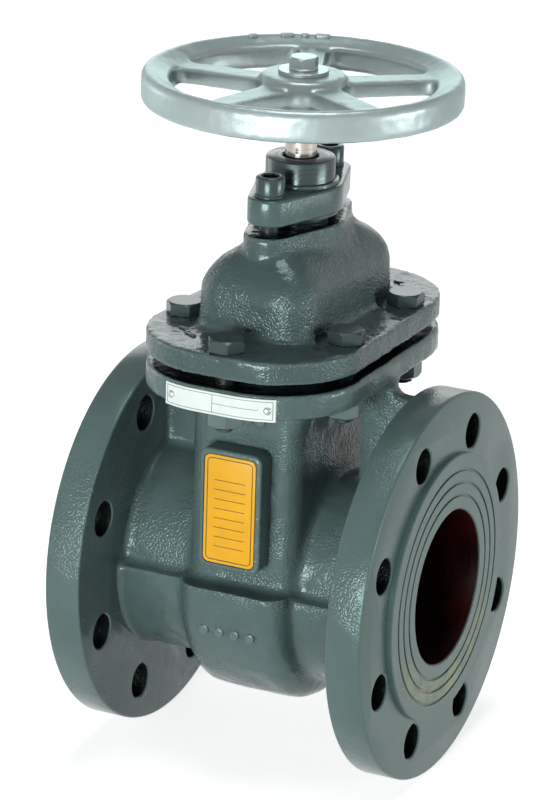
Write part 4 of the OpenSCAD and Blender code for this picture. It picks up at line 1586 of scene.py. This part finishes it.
@dataclass
class Plates:
    """The amber name plate, the white rating plate and its rivets, all without words."""

    palette: Palette
    joint: CoverJoint
    name_w: float = 28.0
    name_h: float = 57.0
    name_corner: float = 3.25
    name_z: float = 46.5
    name_front: float = -70.0
    thick: float = 0.8
    rating_w: float = 59.0
    rating_h: float = 11.4
    rating_x: float = 1.5
    rivet_r: float = 2.0
    rivet_h: float = 1.2
    proud: float = 0.05
    name_edge: float = 1.4
    name_line: float = 0.55
    rules: tuple[float, ...] = (15.5, 10.5, 5.5, 0.5, -4.5, -9.5, -14.5, -19.5)
    rule_half_l: float = 8.5
    rule_half_w: float = 0.2
    rating_edge: float = 1.0
    rating_line: float = 0.35
    divider_x: float = -1.2

    def upright(self, shape: Shape) -> Shape:
        """Stand a flat shape against the name pad, its top to the front."""
        return shape.turned_by(90.0, "X").moved(y=self.name_front + self.thick, z=self.name_z)

    def band(
        self, low: float, high: float, skin_in: float, skin_out: float, from_x: float, to_x: float
    ) -> Shape:
        """Return part of a thin band that follows the cover flange's edge.

        Args:
            low: Height of its lower edge.
            high: Height of its upper edge.
            skin_in: Distance of its back from the flange's edge.
            skin_out: Distance of its front from the flange's edge.
            from_x: Its left end.
            to_x: Its right end.

        Returns:
            The solid.
        """
        ring = self.joint.slab(low, high, -skin_out).cut(self.joint.slab(low - 1.0, high + 1.0, -skin_in))
        front = Shape.block((from_x, -self.joint.depth, low - 2.0), (to_x, 0.0, high + 2.0))
        return ring.kept(front)

    def name_plate(self) -> None:
        """Make the amber plate with its dark inner line and blank ruled rows."""
        width, height, corner, top = self.name_w, self.name_h, self.name_corner, self.thick
        plate = Shape.slab(width, height, corner, 0.0, top, steps=6)
        plate.softened(0.2, 2, lambda e: all(v.co.z > top / 2 for v in e.verts))
        self.upright(plate).piece("amber_plate", self.palette.amber, ("name_plate",), "name_plate")
        edge, both = self.name_edge, self.name_edge + self.name_line
        low, high = top - 0.3, top + self.proud
        outer = Shape.slab(width - 2 * edge, height - 2 * edge, corner - edge / 2, low, high, 6)
        lines = outer.cut(Shape.slab(width - 2 * both, height - 2 * both, corner - edge, 0.0, 2.0, 6))
        reach, half = self.rule_half_l, self.rule_half_w
        for row in self.rules:
            lines.with_parts(Shape.block((-reach, row - half, low), (reach, row + half, high)))
        self.upright(lines).piece("amber_plate_lines", self.palette.ink, slot="name_plate")

    def rating_plate(self) -> None:
        """Make the white plate with its thin frame and divider."""
        low, high = self.joint.underside, self.joint.underside + self.rating_h
        left, right = self.rating_x - self.rating_w / 2, self.rating_x + self.rating_w / 2
        plate = self.band(low, high, 0.0, self.thick, left, right)
        plate.piece("white_plate", self.palette.white, ("rating_plate",), "rating_plate")
        edge, both = self.rating_edge, self.rating_edge + self.rating_line
        skin, divider = (self.thick - 0.2, self.thick + self.proud), self.divider_x
        window = Shape.block((left + both, -self.joint.depth, low + both), (right - both, 0.0, high - both))
        lines = self.band(low + edge, high - edge, *skin, left + edge, right - edge).cut(window)
        lines.with_parts(
            self.band(low + edge, high - edge, *skin, divider, divider + self.rating_line),
            self.band(low + 5.6, low + 5.9, *skin, divider, right - 8.0),
        )
        lines.piece("white_plate_lines", self.palette.grey_ink, slot="rating_plate")

    def rivets(self) -> None:
        """Make the two domed rivets of the rating plate."""
        joint, radius, top = self.joint, self.rivet_r, self.rivet_h
        arc_x = joint.width / 2 - joint.corner
        for side, name in zip(SIDES, ("left", "right")):
            reach = self.rating_w / 2 - 2 * radius + side * self.rating_x
            turn = side * math.degrees(math.asin((reach - arc_x) / joint.corner))
            dome = Shape.turned(Axis.Z, (
                (0.0, -0.2), (radius, -0.2), (radius, 0.3), (radius * 0.82, 0.8), (radius * 0.45, top),
                (0.0, top),
            ), closed=False, segments=32)
            dome.turned_by(90.0, "X").moved(y=-joint.corner - self.thick).turned_by(turn)
            high = joint.underside + self.rating_h / 2
            dome.moved(x=side * arc_x, y=joint.corner - joint.depth / 2, z=high)
            dome.piece(f"plate_rivet_{name}", self.palette.washer, (f"rivet_{name}",), "washer_steel")

    def build(self) -> None:
        """Make both plates and the rivets."""
        self.name_plate()
        self.rating_plate()
        self.rivets()


@dataclass
class Handwheel:
    """The cast wheel with its washer and bolt."""

    palette: Palette
    voxel: float = 1.1
    rim_r: float = 80.0
    rim_w: float = 14.0
    rim_low: float = 240.0
    rim_h: float = 16.0
    rim_round: float = 4.2
    rim_foot: float = 2.5
    rim_inner_top: float = 252.5
    hub_r: float = 21.5
    hub_low: float = 232.0
    hub_top: float = 255.0
    web_top: float = 251.0
    web_t: float = 8.0
    spokes: int = 5
    spoke_turn: float = 39.0
    spoke_root: float = 15.0
    spoke_tip: float = 13.0
    window_round: float = 7.0
    square: float = 11.3
    washer_r: float = 12.5
    washer_t: float = 2.0
    lock_r: float = 7.25
    lock_t: float = 1.2
    pip_h: float = 0.9
    pip_turns: tuple[tuple[float, float], ...] = ((136.0, 5.0), (122.0, 7.0), (115.0, 4.0), (108.0, 8.0))
    bolt_flats: float = 13.0
    bolt_h: float = 5.3
    bolt_r: float = 4.0

    def rim(self) -> Shape:
        """Return the rim: upright outside, round at the top and sloping inwards."""
        inner, top = self.rim_r - self.rim_w, self.rim_low + self.rim_h
        corners = (
            (self.rim_r - self.rim_foot, self.rim_low + self.rim_foot, self.rim_foot, -90.0),
            (self.rim_r - self.rim_round, top - self.rim_round, self.rim_round, 0.0),
            (inner + self.rim_foot, self.rim_inner_top - self.rim_foot, self.rim_foot, 90.0),
            (inner + self.rim_foot, self.rim_low + self.rim_foot, self.rim_foot, 180.0),
        )
        profile = []
        for x, z, radius, start in corners:
            for step in range(6):
                angle = math.radians(start + 18 * step)
                profile.append((x + radius * math.cos(angle), z + radius * math.sin(angle)))
        return Shape.turned(Axis.Z, profile, segments=144)

    def window(self, index: int) -> Shape:
        """Return the opening between two spokes, with round corners.

        Args:
            index: Number of the spoke before it.

        Returns:
            The cutter.
        """
        step = TURN / self.spokes
        start = math.radians(self.spoke_turn) + index * step
        sides = (
            (self.rim_r - self.rim_w + 1.0, self.spoke_tip, 10, False),
            (self.hub_r + 1.0, self.spoke_root, 4, True),
        )
        arc = []
        for radius, width, parts, backwards in sides:
            lean = math.asin(width / 2 / radius)
            ends = (start + lean, start + step - lean)
            first, last = reversed(ends) if backwards else ends
            for part in range(parts + 1):
                angle = first + (last - first) * part / parts
                arc.append((radius * math.cos(angle), radius * math.sin(angle)))
        low = self.web_top - self.web_t - 3.0
        opening = Shape.face(arc, low, (0, 10, 11, 15), self.window_round, 6)
        return opening.raised([(self.web_t + 6.0, 1.0, 1.0)])

    def pips(self) -> Shape:
        """Return small raised foundry pips on the rim."""
        pips = Shape()
        top = self.rim_low + self.rim_h
        for turn, length in self.pip_turns:
            pip = Shape.slab(3.2, length, 1.5, top - 3.0, top + self.pip_h, 6).softened(0.7, 2)
            pips.with_parts(pip.moved(x=self.rim_r - self.rim_w / 2 + 1.0).turned_by(turn))
        return pips

    def build(self) -> None:
        """Make the wheel, its washers and its bolt."""
        hub_r, low, web_low = self.hub_r, self.hub_low, self.web_top - self.web_t
        web = Shape.rod(Axis.Z, web_low, self.web_top, self.rim_r - self.rim_w / 2)
        web = web.cut(*(self.window(index) for index in range(self.spokes)))
        hub = Shape.turned(Axis.Z, (
            (0.0, low), (hub_r - 5.0, low), (hub_r - 3.0, low + 2.0), (hub_r, web_low - 1.0),
            (hub_r, self.hub_top - 1.5), (hub_r - 1.5, self.hub_top), (0.0, self.hub_top),
        ), closed=False)
        form = hub.with_parts(web, self.rim()).skinned(self.voxel)
        wheel = form.relaxed(2).relaxed(8, hollows=True).roughened(0.16, 5.0)
        face = Shape.rod(Axis.Z, self.hub_top - 3.0, self.hub_top, self.washer_r + 3.0).softened(0.6, 2)
        half, bolt_r = self.square / 2, self.bolt_r
        hole = Shape.block((-half, -half, low - 3.0), (half, half, self.hub_top + 3.0))
        wheel.fused(face, self.pips()).cut(hole).piece(
            "wheel_casting", self.palette.wheel, ("handwheel",), "wheel_paint", WHEEL_BODY
        )
        gap, lock_low = bolt_r + 0.2, self.hub_top + self.washer_t
        seat = lock_low + self.lock_t
        head = hexagon(self.bolt_flats, seat, seat + self.bolt_h)
        shank = Shape.rod(Axis.Z, low + 3.0, seat + 1.0, bolt_r - 0.05, segments=32)
        for name, node, shape in (
            ("hub_washer", "wheel_washer", washer_shape(gap, self.washer_r, self.hub_top, self.washer_t)),
            ("spring_washer", "lock_washer", washer_shape(gap, self.lock_r, lock_low, self.lock_t)),
            ("hub_bolt", "wheel_bolt", head.fused(shank).turned_by(12.0)),
        ):
            shape.piece(name, self.palette.washer, (node,), "washer_steel", WHEEL_BODY)


@dataclass
class InnerParts:
    """The CAD nodes that keep their own shape and only get a finish."""

    palette: Palette

    def build(self) -> None:
        """Dress each of these nodes."""
        finishes = {
            "stem": self.palette.stem,
            "gasket": self.palette.gasket,
            "packing": self.palette.packing,
            "inlet_seat": self.palette.brass,
            "outlet_seat": self.palette.brass,
            "wedge_ring_inlet": self.palette.brass,
            "wedge_ring_outlet": self.palette.brass,
            "stem_nut": self.palette.brass,
            "wedge": self.palette.wedge,
        }
        for node, finish in finishes.items():
            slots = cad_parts[node].data.materials
            slots.clear()
            slots.append(finish)
            LOG.info("%s: dressed", node)


# ---------------------------------------------------------------- studio


@dataclass
class Softbox:
    """A large soft lamp that faces a point."""

    name: str
    place: Point
    aim: Point
    width: float
    height: float
    power: float
    colour: Colour = (0.94, 1.0, 0.985)

    def build(self) -> None:
        """Make the lamp."""
        lamp = bpy.data.lights.new(self.name, "AREA")
        lamp.shape = "RECTANGLE"
        lamp.size, lamp.size_y = self.width, self.height
        lamp.energy = self.power
        lamp.color = self.colour
        thing = linked(self.name, lamp)
        thing.location = self.place
        thing.rotation_mode = "QUATERNION"
        thing.rotation_quaternion = (Vector(self.aim) - Vector(self.place)).to_track_quat("-Z", "Y")


@dataclass
class Studio:
    """Floor, daylight, lamps and camera."""

    floor_z: float = -0.1
    floor_reach: float = 6.0
    floor_colour: Colour = (0.8, 0.8, 0.8)
    floor_glow: Colour = (0.75, 0.75, 0.75)
    floor_bounce: float = 0.08
    ambient: float = 0.02
    ambient_colour: Colour = (0.96, 0.98, 1.0)
    horizon: Colour = (1.0, 1.0, 1.0)
    ceiling: Colour = (0.5, 0.5, 0.5)
    ceiling_from: float = 0.36
    ceiling_full: float = 0.62
    lens: float = 172.865
    camera_place: Point = (0.8721, -1.6661, 0.7258)
    azimuth: float = 25.38
    elevation: float = 19.23
    roll: float = 1.81
    lamps: tuple[Softbox, ...] = (
        Softbox("main_softbox", (0.15, -1.75, 0.16), (0.09, 0.0, 0.08), 0.9, 0.46, 29.0),
        Softbox("right_softbox", (1.95, 0.31, 0.10), (0.18, 0.0, 0.03), 0.9, 0.34, 13.0),
        Softbox("left_softbox", (-1.75, 0.15, 0.2), (0.09, 0.0, 0.06), 0.9, 0.5, 3.5),
        Softbox("back_softbox", (-0.71, 1.71, 0.75), (0.09, 0.0, 0.1), 1.2, 0.8, 4.5),
        Softbox("top_softbox", (0.09, 0.0, 1.6), (0.09, 0.0, 0.1), 0.8, 0.6, 10.5),
    )

    def ground(self) -> None:
        """Make the pale floor, which catches a soft shadow and looks white to the camera."""
        grid = bmesh.new()
        bmesh.ops.create_grid(grid, x_segments=1, y_segments=1, size=self.floor_reach)
        bmesh.ops.translate(grid, vec=(0, 0, self.floor_z), verts=grid.verts[:])
        mesh = bpy.data.meshes.new("floor")
        grid.to_mesh(mesh)
        grid.free()
        material = bpy.data.materials.new("floor_white")
        graph = Graph.of(material)
        matt = graph.node("ShaderNodeBsdfDiffuse", {"Color": self.floor_colour})
        glow = {"Color": self.floor_glow, "Strength": graph.seen() | self.floor_bounce}
        shine = graph.node("ShaderNodeEmission", glow)
        graph.surface(graph.node("ShaderNodeAddShader", {0: matt.outputs[0], 1: shine.outputs[0]}))
        mesh.materials.append(material)
        linked("floor", mesh)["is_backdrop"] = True

    def daylight(self) -> None:
        """Fill the room with even light, and show a white backdrop that fades to a grey ceiling."""
        world = bpy.data.worlds.new("studio")
        bpy.context.scene.world = world
        graph = Graph.of(world)
        high = graph.parts(graph.node("ShaderNodeTexCoord").outputs["Generated"])[2]
        shade = graph.blend(high.ramp(self.ceiling_from, self.ceiling_full), self.horizon, self.ceiling)
        light = graph.node("ShaderNodeBackground", {"Color": self.ambient_colour, "Strength": self.ambient})
        backdrop = graph.node("ShaderNodeBackground", {"Color": shade})
        choice = {0: graph.seen(), 1: light.outputs[0], 2: backdrop.outputs[0]}
        graph.surface(graph.node("ShaderNodeMixShader", choice), "ShaderNodeOutputWorld")

    def camera(self) -> None:
        """Make the camera, a little above the valve and to its right."""
        turn, rise, roll = (math.radians(v) for v in (self.azimuth, self.elevation, self.roll))
        back = Vector((math.sin(turn) * math.cos(rise), -math.cos(turn) * math.cos(rise), math.sin(rise)))
        right = Vector((math.cos(turn), math.sin(turn), 0.0))
        level = Matrix((right, back.cross(right), back)).transposed()
        data = bpy.data.cameras.new("camera")
        data.sensor_width, data.lens, data.clip_end = 36.0, self.lens, 50.0
        thing = linked("camera", data)
        turned = (level @ Matrix.Rotation(roll, 3, "Z")).to_4x4()
        thing.matrix_world = Matrix.Translation(self.camera_place) @ turned
        bpy.context.scene.camera = thing

    def build(self) -> None:
        """Set up the whole studio."""
        bpy.context.scene.view_settings.view_transform = "Standard"
        self.ground()
        self.daylight()
        for lamp in self.lamps:
            lamp.build()
        self.camera()


def save_sizes() -> None:
    """Work out the CAD model's box and the finished model's box, and keep neither.
    """
    boxes = [[list(corner) for corner in box] for box in (CAD_BOX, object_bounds())]


def main() -> None:
    """Build the valve and the studio, part by part."""
    logging.basicConfig(level=logging.INFO, format="%(name)s: %(message)s")
    palette = Palette.mixed()
    joint = CoverJoint()
    parts = (
        BodyCasting(palette, joint),
        Bonnet(palette, joint),
        Gland(palette),
        CoverBolts(palette, joint),
        Plates(palette, joint),
        Handwheel(palette),
        InnerParts(palette),
        Studio(),
    )
    for part in parts:
        part.build()
        LOG.info("%s built", type(part).__name__)
    save_sizes()


if __name__ == "__main__":
    main()
